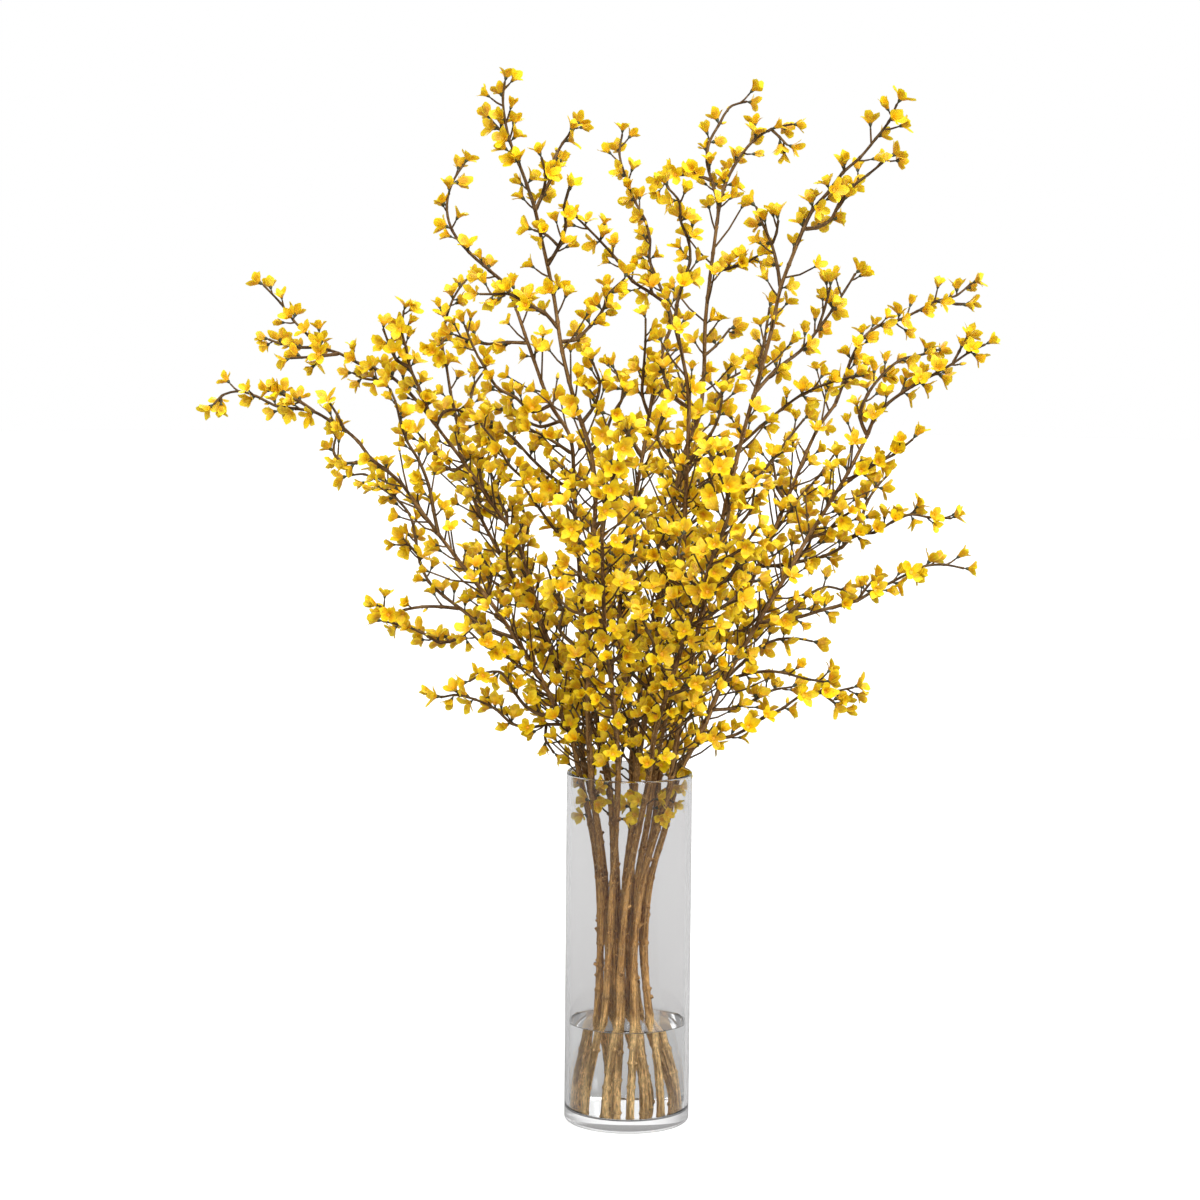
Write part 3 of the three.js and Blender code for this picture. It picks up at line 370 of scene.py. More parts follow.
cut_branch(
    "branch_front_centre", (31, 3), -180, 1,
    [(38, 475), (48, 520), (56, 570), (60, 625), (62, 690), (64, 760), (66, 830),
        (66, 887), (56, 942)],
    [-40, (56, 942), (50, 965), (51, 992), (58, 1018), (66, 1044), (64, 1068), (55, 1090),
        (52, 1115), (38, 1131)],
    [50, (66, 870), (46, 886), (36, 910), (40, 934)],
    [-60, (65, 800), (44, 812), (30, 834), (34, 858)],
    [-60, (63, 725), (84, 742), (98, 764), (92, 790)],
    [-50, (61, 655), (40, 668), (30, 690), (38, 716)],
    [-60, (58, 590), (36, 602), (24, 624), (28, 650)],
)
cut_branch(
    "branch_centre", (8, -24), -20, 0,
    [(15, 475), (23, 530), (31, 590), (39, 650), (45, 710), (52, 765), (62, 815),
        (79, 860), (84, 910), (85, 970), (90, 1025), (97, 1085)],
    [40, (97, 1085), (99, 1108), (93, 1132), (85, 1160), (87, 1183), (98, 1204), (112, 1226),
        (130, 1232)],
    [-35, (91, 1139), (72, 1145), (50, 1145), (30, 1138)],
    [60, (98, 1100), (106, 1133), (121, 1163), (140, 1187), (160, 1200), (184, 1206)],
    [-15, (160, 1200), (170, 1191), (179, 1182)],
    [-40, (91, 1032), (112, 1036), (130, 1042), (145, 1050)],
    [30, (84, 932), (98, 944), (114, 964)],
    [-70, (60, 806), (98, 811), (130, 828), (152, 848), (176, 868), (200, 886), (228, 899),
        (262, 909)],
    [60, (79, 860), (100, 878), (112, 902), (130, 914)],
    [50, (48, 735), (68, 754), (84, 778), (104, 786)],
    [60, (38, 640), (58, 652), (76, 672), (80, 700)],
    [-60, (23, 530), (4, 548), (-4, 572), (6, 596)],
)
cut_branch(
    "branch_tall_right", (50, -36), -190, 1,
    [(58, 475), (68, 530), (78, 590), (91, 650), (104, 715), (118, 780), (132, 840),
        (152, 915), (165, 968), (174, 1013), (192, 1063)],
    [-50, (192, 1063), (200, 1083), (211, 1106), (230, 1128), (246, 1150), (266, 1168),
        (284, 1190), (299, 1210), (308, 1230)],
    [35, (200, 1083), (216, 1085), (232, 1094), (242, 1113), (256, 1132), (276, 1148),
        (300, 1168)],
    [35, (174, 1013), (170, 1038), (163, 1064), (153, 1086), (144, 1108)],
    [-15, (163, 1064), (168, 1078), (170, 1092)],
    [50, (85, 622), (108, 630), (128, 646), (140, 668)],
    [60, (145, 888), (170, 916), (200, 940), (219, 964), (236, 988), (250, 1010), (262, 1030)],
    [-15, (219, 964), (227, 990), (233, 1014)],
    [50, (112, 750), (131, 764), (148, 784), (166, 807), (186, 834), (204, 857)],
    [-60, (104, 715), (126, 728), (142, 748), (146, 772)],
    [-60, (91, 650), (112, 662), (128, 682), (130, 706)],
    [-50, (78, 590), (58, 606), (54, 628), (62, 650)],
)
cut_branch(
    "branch_back_right", (40, 47), 170, 1,
    [(52, 475), (78, 530), (104, 580), (130, 630), (152, 680), (165, 710), (178, 742),
        (200, 798), (222, 848), (241, 875)],
    [40, (241, 875), (250, 900), (259, 928), (272, 953), (291, 969), (314, 976), (337, 987),
        (359, 999), (383, 1006), (400, 1020)],
    [-20, (250, 900), (262, 907), (274, 918)],
    [20, (359, 999), (376, 997), (393, 996)],
    [40, (168, 717), (188, 746), (203, 766), (222, 788), (240, 814)],
    [-60, (152, 680), (180, 682), (205, 687), (230, 693), (252, 704), (268, 719), (290, 722),
        (312, 735), (333, 744), (356, 741), (382, 740)],
    [25, (268, 719), (275, 738), (281, 758), (292, 776), (304, 790)],
    [70, (140, 654), (132, 680), (118, 704), (120, 730)],
    [-50, (112, 596), (134, 602), (152, 618), (166, 640)],
    [70, (104, 580), (84, 600), (80, 628), (94, 650)],
)
cut_branch(
    "branch_far_right", (62, 8), 20, 0,
    [(76, 460), (91, 490), (110, 536), (132, 575), (155, 616), (185, 668), (211, 715),
        (236, 756), (258, 794), (280, 838)],
    [-40, (280, 838), (287, 856), (303, 876), (321, 890), (340, 902), (360, 913), (380, 925),
        (400, 939), (418, 948)],
    [20, (380, 925), (388, 940), (394, 954)],
    [35, (280, 838), (271, 862), (280, 888), (296, 910), (318, 929), (345, 936), (361, 941)],
    [50, (185, 668), (200, 690), (214, 712), (210, 738)],
    [-40, (211, 715), (232, 722), (248, 738), (264, 748)],
    [-35, (248, 778), (272, 793), (291, 805), (312, 816), (334, 834)],
    [-50, (153, 612), (180, 615), (205, 620), (230, 628), (252, 634), (272, 640), (290, 651),
        (312, 662), (332, 673), (352, 682), (375, 684), (398, 680)],
    [20, (272, 640), (280, 652), (290, 665)],
    [35, (180, 615), (198, 632), (214, 647), (235, 656), (255, 652)],
    [40, (114, 544), (138, 566), (156, 583), (178, 592), (200, 593), (218, 590)],
    [-35, (112, 540), (138, 549), (164, 553), (186, 551), (208, 545), (232, 541)],
    [-50, (78, 464), (98, 470), (121, 473), (140, 482), (160, 496), (184, 508), (205, 523),
        (231, 527), (250, 530), (268, 534)],
    [15, (231, 527), (243, 518), (254, 509)],
    [40, (98, 505), (126, 508), (150, 518), (172, 530), (194, 534)],
    [-15, (74, 456), (62, 440), (50, 418), (46, 394)],
)
cut_branch(
    "branch_front_left", (-14, -60), -260, 1,
    [(-16, 475), (-22, 530), (-30, 590), (-34, 655), (-36, 720)],
    [-70, (-36, 720), (-34, 745), (-28, 770), (-20, 795), (-14, 820), (-4, 842)],
    [-50, (-35, 690), (-56, 704), (-72, 722), (-78, 748)],
    [50, (-34, 655), (-14, 668), (0, 688), (4, 712)],
    [-60, (-31, 610), (-52, 618), (-74, 626), (-90, 644)],
    [-60, (-26, 560), (-8, 574), (6, 594), (4, 620)],
    [-50, (-20, 515), (-38, 528), (-54, 546), (-66, 566)],
)
cut_branch(
    "branch_front_right", (22, -58), -280, 1,
    [(30, 475), (46, 530), (64, 590), (84, 650), (100, 700)],
    [-70, (100, 700), (110, 724), (116, 748), (112, 772), (102, 794), (92, 815)],
    [-50, (94, 680), (114, 690), (134, 704), (148, 724)],
    [50, (84, 650), (66, 668), (56, 692), (60, 716)],
    [-60, (70, 608), (92, 618), (112, 632), (130, 640)],
    [-60, (54, 556), (34, 572), (24, 594), (14, 614)],
    [-50, (44, 522), (64, 530), (86, 544), (104, 560)],
)
cut_branch(
    "branch_back", (3, 62), 300, 2,
    [(6, 475), (14, 540), (26, 610), (42, 680), (56, 750), (64, 815)],
    [60, (64, 815), (72, 842), (70, 868), (60, 892), (52, 915)],
    [60, (60, 782), (42, 800), (30, 824), (32, 850)],
    [-50, (56, 750), (78, 768), (94, 790), (96, 816)],
    [60, (46, 700), (24, 716), (8, 738), (-2, 760)],
    [60, (34, 645), (56, 660), (74, 682), (72, 710)],
    [60, (22, 585), (2, 600), (-16, 620), (-22, 646)],
)

STEM_FOOT_RADIUS = 5.6
STEM_END_RADIUS = 2.7
TWIG_ROOT_RADIUS = 2.3
TWIG_TIP_RADIUS = 1.3
SHORT_TWIG = 60  # a twig shorter than this is thinner at its root
SHORT_TWIG_ROOT_RADIUS = 1.8
BRANCH_GAP = 0.9  # least space between the wood of two branches
STEM_BENDS = (0, 8, -8, 16, -16, 24, -24, 32, -32)  # tried in turn, backwards and forwards
TWIG_BENDS = (0, 8, -8, 16, -16, 24, -24, 34, -34, 46, -46, 60, -60)
GOLDEN_TURN = 2.39996  # radians
SEED_STEP = 100  # between the first seeds of two branches
SHOOT_SEED = 500
SHOOT_TRIES = 8
SHOOT_START = 0.7  # how far up its own share of the stem a shoot leaves it
SHOOT_TURNS = 3  # golden turns from one branch's first shoot to the next branch's
SHOOT_NODES = 2  # fewest nodes of a shoot
SHOOT_NODE_SPREAD = 3
SHOOT_STEP = 24  # between two nodes
SHOOT_SPREAD = 0.8  # of the heading, in radians, as the slopes are
SHOOT_SLOPE = 0.35
SHOOT_SLOPE_SPREAD = 0.5
SHOOT_WAVER = 0.9
SHOOT_LIFT = 0.35
SHOOT_STEEPEST = 1.4
UPRIGHT = 0.9  # past this share of up, a path's first side direction is taken from the X axis


def seeded(seed):
    """Repeatable draws between 0 and 1."""
    state = seed

    def draw():
        nonlocal state
        state = (state + 0x6D2B79F5) & 0xFFFFFFFF
        t = ((state ^ (state >> 15)) * (state | 1)) & 0xFFFFFFFF
        t = ((t + ((t ^ (t >> 7)) * (t | 61) & 0xFFFFFFFF)) & 0xFFFFFFFF) ^ t
        return (t ^ (t >> 14)) / 4294967296

    return draw


def draws_of(path, first_seed):
    """A path's own draws."""
    branch, number = path["twig"]
    return seeded(first_seed + SEED_STEP * branch + number)


def within(limits, share):
    """The value that lies at a share of the way from the first limit to the second."""
    return limits[0] + (limits[1] - limits[0]) * share


def minus(a, b):
    return (a[0] - b[0], a[1] - b[1], a[2] - b[2])


def plus(start, a, u):
    """start + a * u"""
    return (start[0] + u[0] * a, start[1] + u[1] * a, start[2] + u[2] * a)


def offset(start, a, u, b, v):
    """start + a * u + b * v"""
    return plus(plus(start, a, u), b, v)


def way(a, u, b, v):
    """a * u + b * v"""
    return offset((0, 0, 0), a, u, b, v)


def dot(a, b):
    return a[0] * b[0] + a[1] * b[1] + a[2] * b[2]


def cross(a, b):
    return (a[1] * b[2] - a[2] * b[1], a[2] * b[0] - a[0] * b[2], a[0] * b[1] - a[1] * b[0])


def unit(a):
    scale = 1 / math.sqrt(dot(a, a))
    return (a[0] * scale, a[1] * scale, a[2] * scale)


def square(vector, axis):
    """The part of a vector that is square to an axis, at unit length."""
    return unit(plus(vector, -dot(vector, axis), axis))


def between(a, b, t):
    return tuple(within(pair, t) for pair in zip(a, b))


def distance(a, b):
    apart = minus(a, b)
    return math.sqrt(dot(apart, apart))


def at_depth(x, z, y):
    """The point at a depth that is seen at (x, z)."""
    scale = (y - EYE[1]) / -EYE[1]
    return (EYE[0] + (x - EYE[0]) * scale, y, EYE[2] + (z - EYE[2]) * scale)


def as_seen(point):
    scale = -EYE[1] / (point[1] - EYE[1])
    return (EYE[0] + (point[0] - EYE[0]) * scale, EYE[2] + (point[2] - EYE[2]) * scale)


def arcs(points):
    """Distance along a path at each of its points."""
    along = [0]
    for before, point in zip(points, points[1:]):
        along.append(along[-1] + distance(point, before))
    return along


def frames_along(points, roll, start=None):
    """A direction and two square ones at each point of a path, carried along without twist."""
    frames = []
    for i, point in enumerate(points):
        tangent = (0, 0, 0)
        if i > 0:
            tangent = plus(tangent, 1, unit(minus(point, points[i - 1])))
        if i < len(points) - 1:
            tangent = plus(tangent, 1, unit(minus(points[i + 1], point)))
        tangent = unit(tangent)
        if i > 0:
            u = square(frames[-1][1], tangent)
        else:
            tangent = start or tangent
            first = square((0, 0, 1) if abs(tangent[2]) < UPRIGHT else (1, 0, 0), tangent)
            u = way(math.cos(roll), first, math.sin(roll), cross(tangent, first))
        frames.append((tangent, u, cross(tangent, u)))
    return frames


# Wood and flowers are noted as balls in a grid of cells, so that what would cross another
# branch can be bent clear. A ball is its centre, its radius, its twig and whether it is a flower.
# A twig is known by its branch's number and its own, and 0 is the stem.
CELL = 16
BALL_STEP = 2.5
cells = {}


def cell_of(centre):
    return tuple(math.floor(value / CELL) for value in centre)


def note_ball(*ball):
    cells.setdefault(cell_of(ball[0]), []).append(ball)


def space_round(centre, radius, counts):
    """Least distance from a ball to the noted ones that the test lets count."""
    i, j, k = cell_of(centre)
    least = CELL / 2
    for a in (i - 1, i, i + 1):
        for b in (j - 1, j, j + 1):
            for c in (k - 1, k, k + 1):
                for ball in cells.get((a, b, c), ()):
                    if counts(ball):
                        least = min(least, distance(centre, ball[0]) - radius - ball[1])
    return least


def wood_balls(points, radii):
    """Balls along a path, close enough together to stand for the wood."""
    balls = []
    for i in range(1, len(points)):
        steps = math.ceil(distance(points[i], points[i - 1]) / BALL_STEP)
        for share in (s / steps for s in range(steps)):
            middle = between(points[i - 1], points[i], share)
            balls.append((middle, within(radii[i - 1:i + 1], share)))
    return [*balls, (points[-1], radii[-1])]


def bend_clear(bends, shape, radii_of, branch):
    """Takes the first bend that keeps the path clear of every other branch, or the clearest."""
    best = None
    for bend in bends:
        points = shape(bend)
        radii = radii_of(points)
        balls = wood_balls(points, radii)
        space = min(space_round(c, r, lambda ball: ball[2][0] != branch) for c, r in balls)
        if best is None or space > best["space"]:
            best = {"points": points, "radii": radii, "balls": balls, "space": space}
        if space >= BRANCH_GAP:
            break
    return best


def bundle_point(seat, row):
    """Where a stem lies in the vase at one height of the bundle."""
    height, scale, turn, shift = row
    cos = math.cos(math.radians(turn)) * scale
    sin = math.sin(math.radians(turn)) * scale
    return (seat[0] * cos - seat[1] * sin + shift, seat[0] * sin + seat[1] * cos, height)


def stem_points(branch, bend):
    """The stem stands in the bundle, passes the rim at its seat and then goes steadily back or
    forward to its depth. A bend bows it to the back or the front on the way."""
    in_vase = [bundle_point(branch["seat"], row) for row in BUNDLE]
    top = branch["stem"][-1][1]
    above = []
    for x, z in branch["stem"]:
        t = (z - RIM) / (top - RIM)
        y = within((branch["seat"][1], branch["depth"]), t)
        above.append(at_depth(x, z, y + bend * math.sin(math.pi * t)))
    return in_vase + above


def taper(points, start, end):
    along = arcs(points)
    return [start + (end - start) * s / along[-1] for s in along]


def root_on(paths, spot):
    """The point of the branch's wood that is seen nearest to (x, z)."""
    x, z = spot
    nearest, root = math.inf, None
    for path in paths:
        seen = [as_seen(point) for point in path["points"]]
        for i in range(1, len(seen)):
            ax, az = seen[i - 1]
            dx, dz = seen[i][0] - ax, seen[i][1] - az
            t = min(max(((x - ax) * dx + (z - az) * dz) / (dx * dx + dz * dz), 0), 1)
            ex, ez = ax + dx * t - x, az + dz * t - z
            if ex * ex + ez * ez < nearest:
                nearest = ex * ex + ez * ez
                root = between(path["points"][i - 1], path["points"][i], t)
    return root


def twig_points(root, lean, route, bend):
    """A twig leans further back or forward as it goes; a bend adds to the lean."""
    along = arcs([(x, 0, z) for x, z in route])
    points = [root]
    for (x, z), s in zip(route[1:], along[1:]):
        t = s / along[-1]
        points.append(at_depth(x, z, root[1] + lean * t + bend * math.sin(math.pi * t / 2)))
    return points


def twig_radii(points):
    short = arcs(points)[-1] < SHORT_TWIG
    return taper(points, SHORT_TWIG_ROOT_RADIUS if short else TWIG_ROOT_RADIUS, TWIG_TIP_RADIUS)


def shoot_points(root, heading, slope, nodes, draw):
    """A short side shoot leaves the stem at a slope, turns upward and wavers from node to node."""
    points = [root]
    turn, climb = heading, slope
    for _ in range(nodes):
        level = math.cos(climb) * SHOOT_STEP
        step = (math.cos(turn) * level, math.sin(turn) * level, math.sin(climb) * SHOOT_STEP)
        points.append(plus(points[-1], 1, step))
        turn += (draw() - 0.5) * SHOOT_WAVER
        climb = min(climb + draw() * SHOOT_LIFT, SHOOT_STEEPEST)
    return points


def note_path(paths, found, branch):
    """Adds a path to its branch's wood and notes its balls."""
    twig = (branch, len(paths))
    for centre, radius in found["balls"]:
        note_ball(centre, radius, twig, False)
    paths.append({"points": found["points"], "radii": found["radii"], "twig": twig})


def add_shoots(paths, branch, index):
    """Shoots are spread up the stem, each a golden turn round from the one before. One that no
    try brings clear of the other branches is left out."""
    draw = seeded(SHOOT_SEED + index)
    stem = paths[0]["points"][len(BUNDLE):]
    for i in range(branch["shoots"]):
        place = (i + SHOOT_START) / branch["shoots"] * (len(stem) - 1)
        at = min(math.floor(place), len(stem) - 2)
        root = between(stem[at], stem[at + 1], place - at)
        for attempt in range(SHOOT_TRIES):
            heading = GOLDEN_TURN * (i + SHOOT_TURNS * index) + draw() * SHOOT_SPREAD + attempt
            slope = SHOOT_SLOPE + draw() * SHOOT_SLOPE_SPREAD
            nodes = SHOOT_NODES + math.floor(draw() * SHOOT_NODE_SPREAD)
            points = shoot_points(root, heading, slope, nodes, draw)
            found = bend_clear((0,), lambda _: points, twig_radii, index)
            if found["space"] >= BRANCH_GAP:
                note_path(paths, found, index)
                break


wood = []
for index, branch in enumerate(BRANCHES):
    wood.append([])
    note_path(wood[index], bend_clear(
        STEM_BENDS,
        lambda bend: stem_points(branch, bend),
        lambda points: taper(points, STEM_FOOT_RADIUS, STEM_END_RADIUS),
        index,
    ), index)
for index, branch in enumerate(BRANCHES):
    for lean, *route in branch["twigs"]:
        root = root_on(wood[index], route[0])
        note_path(wood[index], bend_clear(
            TWIG_BENDS, lambda bend: twig_points(root, lean, route, bend), twig_radii, index
        ), index)
for index, branch in enumerate(BRANCHES):
    add_shoots(wood[index], branch, index)

# ---- Where each flower sits ----
# Forsythia flowers on bare wood, one or two flowers to a node and often one at the twig's end.
# Each has room of its own, so that no petal runs through another.

FLOWER_SEED = 1000
BARE_NODE = 0.19  # share of a twig's nodes without a flower
BARE_STEM_NODE = 0.22
LONE_FLOWER = 0.6  # share of flowering nodes with one flower
LONE_LEAN = 50  # away from the way the wood runs, in degrees, as the next two
PAIR_LEAN = 56
LEAN_STEP = 8
FLOWER_TRIES = 4
TIP_TILT = 0.8
SPIN_SPREAD = 0.6
SMALLEST_FLOWER = 0.9
SIZE_SPREAD = 0.2
FLOWER_GAP = 0.8
VASE_GAP = 1
STEM_SIDES = 5  # of the faceted wood in the solids, as the next one
TWIG_SIDES = 3
NODE_LENGTH = 3.8
ROOM_PETALS = 2
CUP_BALL = (6.5, 4.4)  # how far up the flower its cup's ball lies, and its radius
PETAL_BALLS = ((11.3, 7.6, 2.8, False), (14.3, 10.6, 1.8, True))  # up, out, radius, outer end


def petal_way(flower, turn):
    angle = turn + flower["spin"]
    return way(math.cos(angle), flower["forward"], math.sin(angle), flower["side"])


def flower_balls(flower):
    """Balls that stand for a flower: centre, radius, and whether it is a petal's outer end."""
    base, axis, size = flower["base"], flower["axis"], flower["size"]
    balls = [(plus(base, CUP_BALL[0] * size, axis), CUP_BALL[1] * size, False)]
    for i in range(ROOM_PETALS):
        out = petal_way(flower, i * math.tau / ROOM_PETALS)
        for rise, reach, radius, outer in PETAL_BALLS:
            balls.append((offset(base, rise * size, axis, reach * size, out), radius * size, outer))
    return balls


def clear_of_vase(centre, radius):
    if centre[2] - radius > RIM + VASE_GAP:
        return True
    out = math.sqrt(centre[0] * centre[0] + centre[1] * centre[1])
    inside = out + radius < inner_radius / MM - VASE_GAP
    return inside or out - radius > VASE_RADIUS / MM + VASE_GAP


def flower_fits(balls, twig, gap):
    """A flower grows from its twig's wood, so only its petals' tips must clear that."""
    for centre, radius, outer in balls:
        if not clear_of_vase(centre, radius):
            return False
        if space_round(centre, radius, lambda ball: ball[3] or ball[2] != twig) < gap:
            return False
        own_wood = lambda ball: not ball[3] and ball[2] == twig
        if outer and space_round(centre, radius / 2, own_wood) < 0:
            return False
    return True


def flower_at(base, axis, tangent, spin, size):
    """A flower that looks along its axis, with a forward side towards the tangent."""
    forward = square(tangent, axis)
    return {
        "base": base, "axis": axis, "forward": forward, "side": cross(axis, forward),
        "spin": spin, "size": size,
    }


def try_flower(path, base, axis, tangent, draw, gap=FLOWER_GAP, smallest=SMALLEST_FLOWER):
    """The flower that looks along the axis from a spot on the wood, if it has room there."""
    spin = (draw() - 0.5) * SPIN_SPREAD
    flower = flower_at(base, axis, tangent, spin, smallest + SIZE_SPREAD * draw())
    balls = flower_balls(flower)
    if not flower_fits(balls, path["twig"], gap):
        return None
    for centre, radius, _ in balls:
        note_ball(centre, radius, path["twig"], True)
    return flower


def way_out(frame_at, turn, onward):
    """The way straight out of the wood at a turn round it."""
    _, u, v = frame_at
    return square(way(math.cos(turn), u, math.sin(turn), v), onward)


def flowers_on_node(path, i, sides, draw):
    """Up to two flowers on the sides of the wood, just past one of its points."""
    point = path["points"][i]
    onward = unit(minus(path["points"][i + 1], point))
    wanted = 1 if draw() < LONE_FLOWER else 2
    inset = path["radii"][i] * math.cos(math.pi / sides)
    first_facet = math.floor(draw() * sides)
    flowers = []
    for s in range(TWIG_SIDES):
        if len(flowers) == wanted:
            break
        facet = (first_facet + math.floor(s * sides / TWIG_SIDES + 0.5)) % sides
        out = way_out(path["frames"][i], (facet + 0.5) * math.tau / sides, onward)
        base = offset(point, inset, out, NODE_LENGTH / 3, onward)
        for attempt in range(FLOWER_TRIES):
            lean = math.radians((LONE_LEAN if wanted == 1 else PAIR_LEAN) + LEAN_STEP * attempt)
            axis = way(math.sin(lean), out, math.cos(lean), onward)
            flower = try_flower(path, base, axis, onward, draw)
            if flower:
                flowers.append(flower)
                break
    return flowers


def flower_on_tip(path, draw):
    """A flower at the end of a twig, tilted a little, if one of the tries has room."""
    tangent, u, v = path["frames"][-1]
    for _ in range(FLOWER_TRIES):
        tilt = ((draw() - 0.5) * TIP_TILT, (draw() - 0.5) * TIP_TILT)
        axis = unit(offset(tangent, tilt[0], u, tilt[1], v))
        flower = try_flower(path, path["points"][-1], axis, u, draw)
        if flower:
            return [flower]
    return []


for paths in wood:
    for path in paths:
        draw = draws_of(path, FLOWER_SEED)
        path["tip"] = []
        if path is paths[0]:
            path["frames"] = frames_along(path["points"], 0, (0, 0, 1))
            first_node, bare, sides = len(BUNDLE) + 1, BARE_STEM_NODE, STEM_SIDES
        else:
            path["frames"] = frames_along(path["points"], draw() * math.tau)
            path["tip"] = flower_on_tip(path, draw)
            first_node, bare, sides = 1, BARE_NODE, TWIG_SIDES
        path["flowers"] = []
        for i in range(first_node, len(path["points"]) - 1):
            if draw() >= bare:
                path["flowers"] += flowers_on_node(path, i, sides, draw)

# The bunch is fuller than one flower to a node: smaller flowers stand between the first ones, many
# on a thin spur of their own, and some are still closed buds.
SMALL_FLOWER_SEED = 5000
SMALL_FLOWER_STEP = 21
SMALL_FLOWER_START = 4  # spread of the first one's place
SMALL_FLOWER_END = 2  # least room before the end of the wood
STEP_SPREAD = (0.8, 0.4)  # least share of a step, and the spread on top
CROWDED_STEP = 6.5  # on the lower part of a stem, up to the next height
CROWDED_HEIGHT = 800
SMALL_FLOWER_GAP = -0.6  # petals may come closer together than those of the first flowers
SMALLEST_SMALL = 0.78
SMALL_FLOWER_TRIES = 5
BUD_SHARE = 0.12
CROWDED_BUD_SHARE = 0.3
BUD_LEAN = 0.7  # outwards and onwards alike
BUD_SIZE = (0.8, 0.5)  # smallest, and the spread on top
STEM_SPURS = (8, 62)  # shortest and longest spur of a stem, then of a twig
TWIG_SPURS = (3, 16)
SPUR_SHORTNESS = 1.4  # above 1 makes short spurs more common than long ones
SPUR_LEAN = 44  # degrees, as its spread
SPUR_LEAN_SPREAD = 30
SPUR_LEAN_MIDDLE = 0.4
SPUR_LIFT = 0.25
SPUR_RADIUS = 1.25
SPUR_INSET = 0.6  # of the wood's radius


def spur_from(path, point, radius, onward, out, spurs, draw):
    """A spur that leaves the wood and turns a little upward, with the way its end looks. None
    if it would run into other wood."""
    lean = math.radians(SPUR_LEAN + SPUR_LEAN_SPREAD * (draw() - SPUR_LEAN_MIDDLE))
    axis = way(math.sin(lean), out, math.cos(lean), onward)
    half = within(spurs, draw() ** SPUR_SHORTNESS) / 2
    base = plus(point, SPUR_INSET * radius, out)
    middle = plus(base, half, axis)
    end_way = unit(plus(axis, SPUR_LIFT, (0, 0, 1)))
    spur = [base, middle, plus(middle, half, end_way)]
    others = lambda ball: ball[2] != path["twig"]
    if min(space_round(spot, SPUR_RADIUS, others) for spot in spur[1:]) < 0:
        return None
    return spur, end_way


def bud_on(base, axis, onward, draw):
    return flower_at(base, axis, onward, 0, BUD_SIZE[0] + BUD_SIZE[1] * draw())


def flower_on_spur(path, spur, looks, onward, draw):
    """Adds a small flower on the end of a spur, if it has room there."""
    flower = try_flower(path, spur[-1], looks, onward, draw, SMALL_FLOWER_GAP, SMALLEST_SMALL)
    if flower:
        path["small"].append(flower)
        path["spurs"].append(spur)
    return flower


def add_small_flowers(path, stem):
    """Smaller flowers and buds at even steps along the wood, turned a golden angle each time."""
    draw = draws_of(path, SMALL_FLOWER_SEED)
    first = len(BUNDLE) - 1 if stem else 0
    points, frames, radii = (path[key][first:] for key in ("points", "frames", "radii"))
    along = arcs(points)
    spot = (0 if stem else SMALL_FLOWER_STEP) + SMALL_FLOWER_START * draw()
    turn = draw() * math.tau
    path.update(small=[], buds=[], spurs=[])
    while spot < along[-1] - SMALL_FLOWER_END:
        i = max(k for k in range(len(along) - 1) if along[k] <= spot)
        t = (spot - along[i]) / (along[i + 1] - along[i])
        point = between(points[i], points[i + 1], t)
        onward = unit(minus(points[i + 1], points[i]))
        radius = within(radii[i:i + 2], t)
        crowded = stem and point[2] < CROWDED_HEIGHT
        in_bud = draw() < (CROWDED_BUD_SHARE if crowded else BUD_SHARE)
        bare = None
        for attempt in range(SMALL_FLOWER_TRIES):
            out = way_out(frames[i], turn + attempt * math.tau / SMALL_FLOWER_TRIES, onward)
            if in_bud and not stem:
                axis = way(BUD_LEAN, out, BUD_LEAN, onward)
                base = plus(point, SPUR_INSET * radius, out)
                path["buds"].append(bud_on(base, axis, onward, draw))
                break
            found = spur_from(
                path, point, radius, onward, out, STEM_SPURS if stem else TWIG_SPURS, draw
            )
            if not found:
                continue
            bare = bare or found
            if in_bud:
                break
            flower = flower_on_spur(path, *found, onward, draw)
            if flower:
                flower["young"] = not stem
                bare = None
                break
        if bare:
            path["spurs"].append(bare[0])
            path["buds"].append(bud_on(bare[0][-1], bare[1], onward, draw))
        turn += GOLDEN_TURN
        step = CROWDED_STEP if crowded else SMALL_FLOWER_STEP
        spot += step * (STEP_SPREAD[0] + STEP_SPREAD[1] * draw())


IN_VASE_SEED = 7000
IN_VASE_FLOWERS = 2
IN_VASE_DROP = (8, 58)  # nearest to and furthest below the rim
IN_VASE_LIFT = 0.15
IN_VASE_TRIES = 10


def add_flowers_in_vase(path, branch):
    """Small flowers on a stem just inside the vase's rim, where there is room."""
    draw = seeded(IN_VASE_SEED + branch)
    last = len(BUNDLE) - 1
    start, end = path["points"][last - 1:last + 1]
    onward = unit(minus(end, start))
    for _ in range(IN_VASE_FLOWERS):
        point = between(end, start, within(IN_VASE_DROP, draw()) / distance(start, end))
        turn = draw() - 0.5
        outward = math.atan2(point[1], point[0])
        for attempt in range(IN_VASE_TRIES):
            side = math.ceil(attempt / 2) * (1 if attempt % 2 else -1)
            angle = outward + turn + side * math.tau / IN_VASE_TRIES
            out = square((math.cos(angle), math.sin(angle), 0), onward)
            found = spur_from(path, point, path["radii"][last], onward, out, TWIG_SPURS, draw)
            if not found or math.hypot(*found[0][-1][:2]) > inner_radius / MM - 2 * SPUR_RADIUS:
                continue
            nodding = unit(plus(out, IN_VASE_LIFT, onward))
            if flower_on_spur(path, found[0], nodding, onward, draw):
                break


for index, paths in enumerate(wood):
    for path in paths:
        add_small_flowers(path, path is paths[0])
    add_flowers_in_vase(paths[0], index)

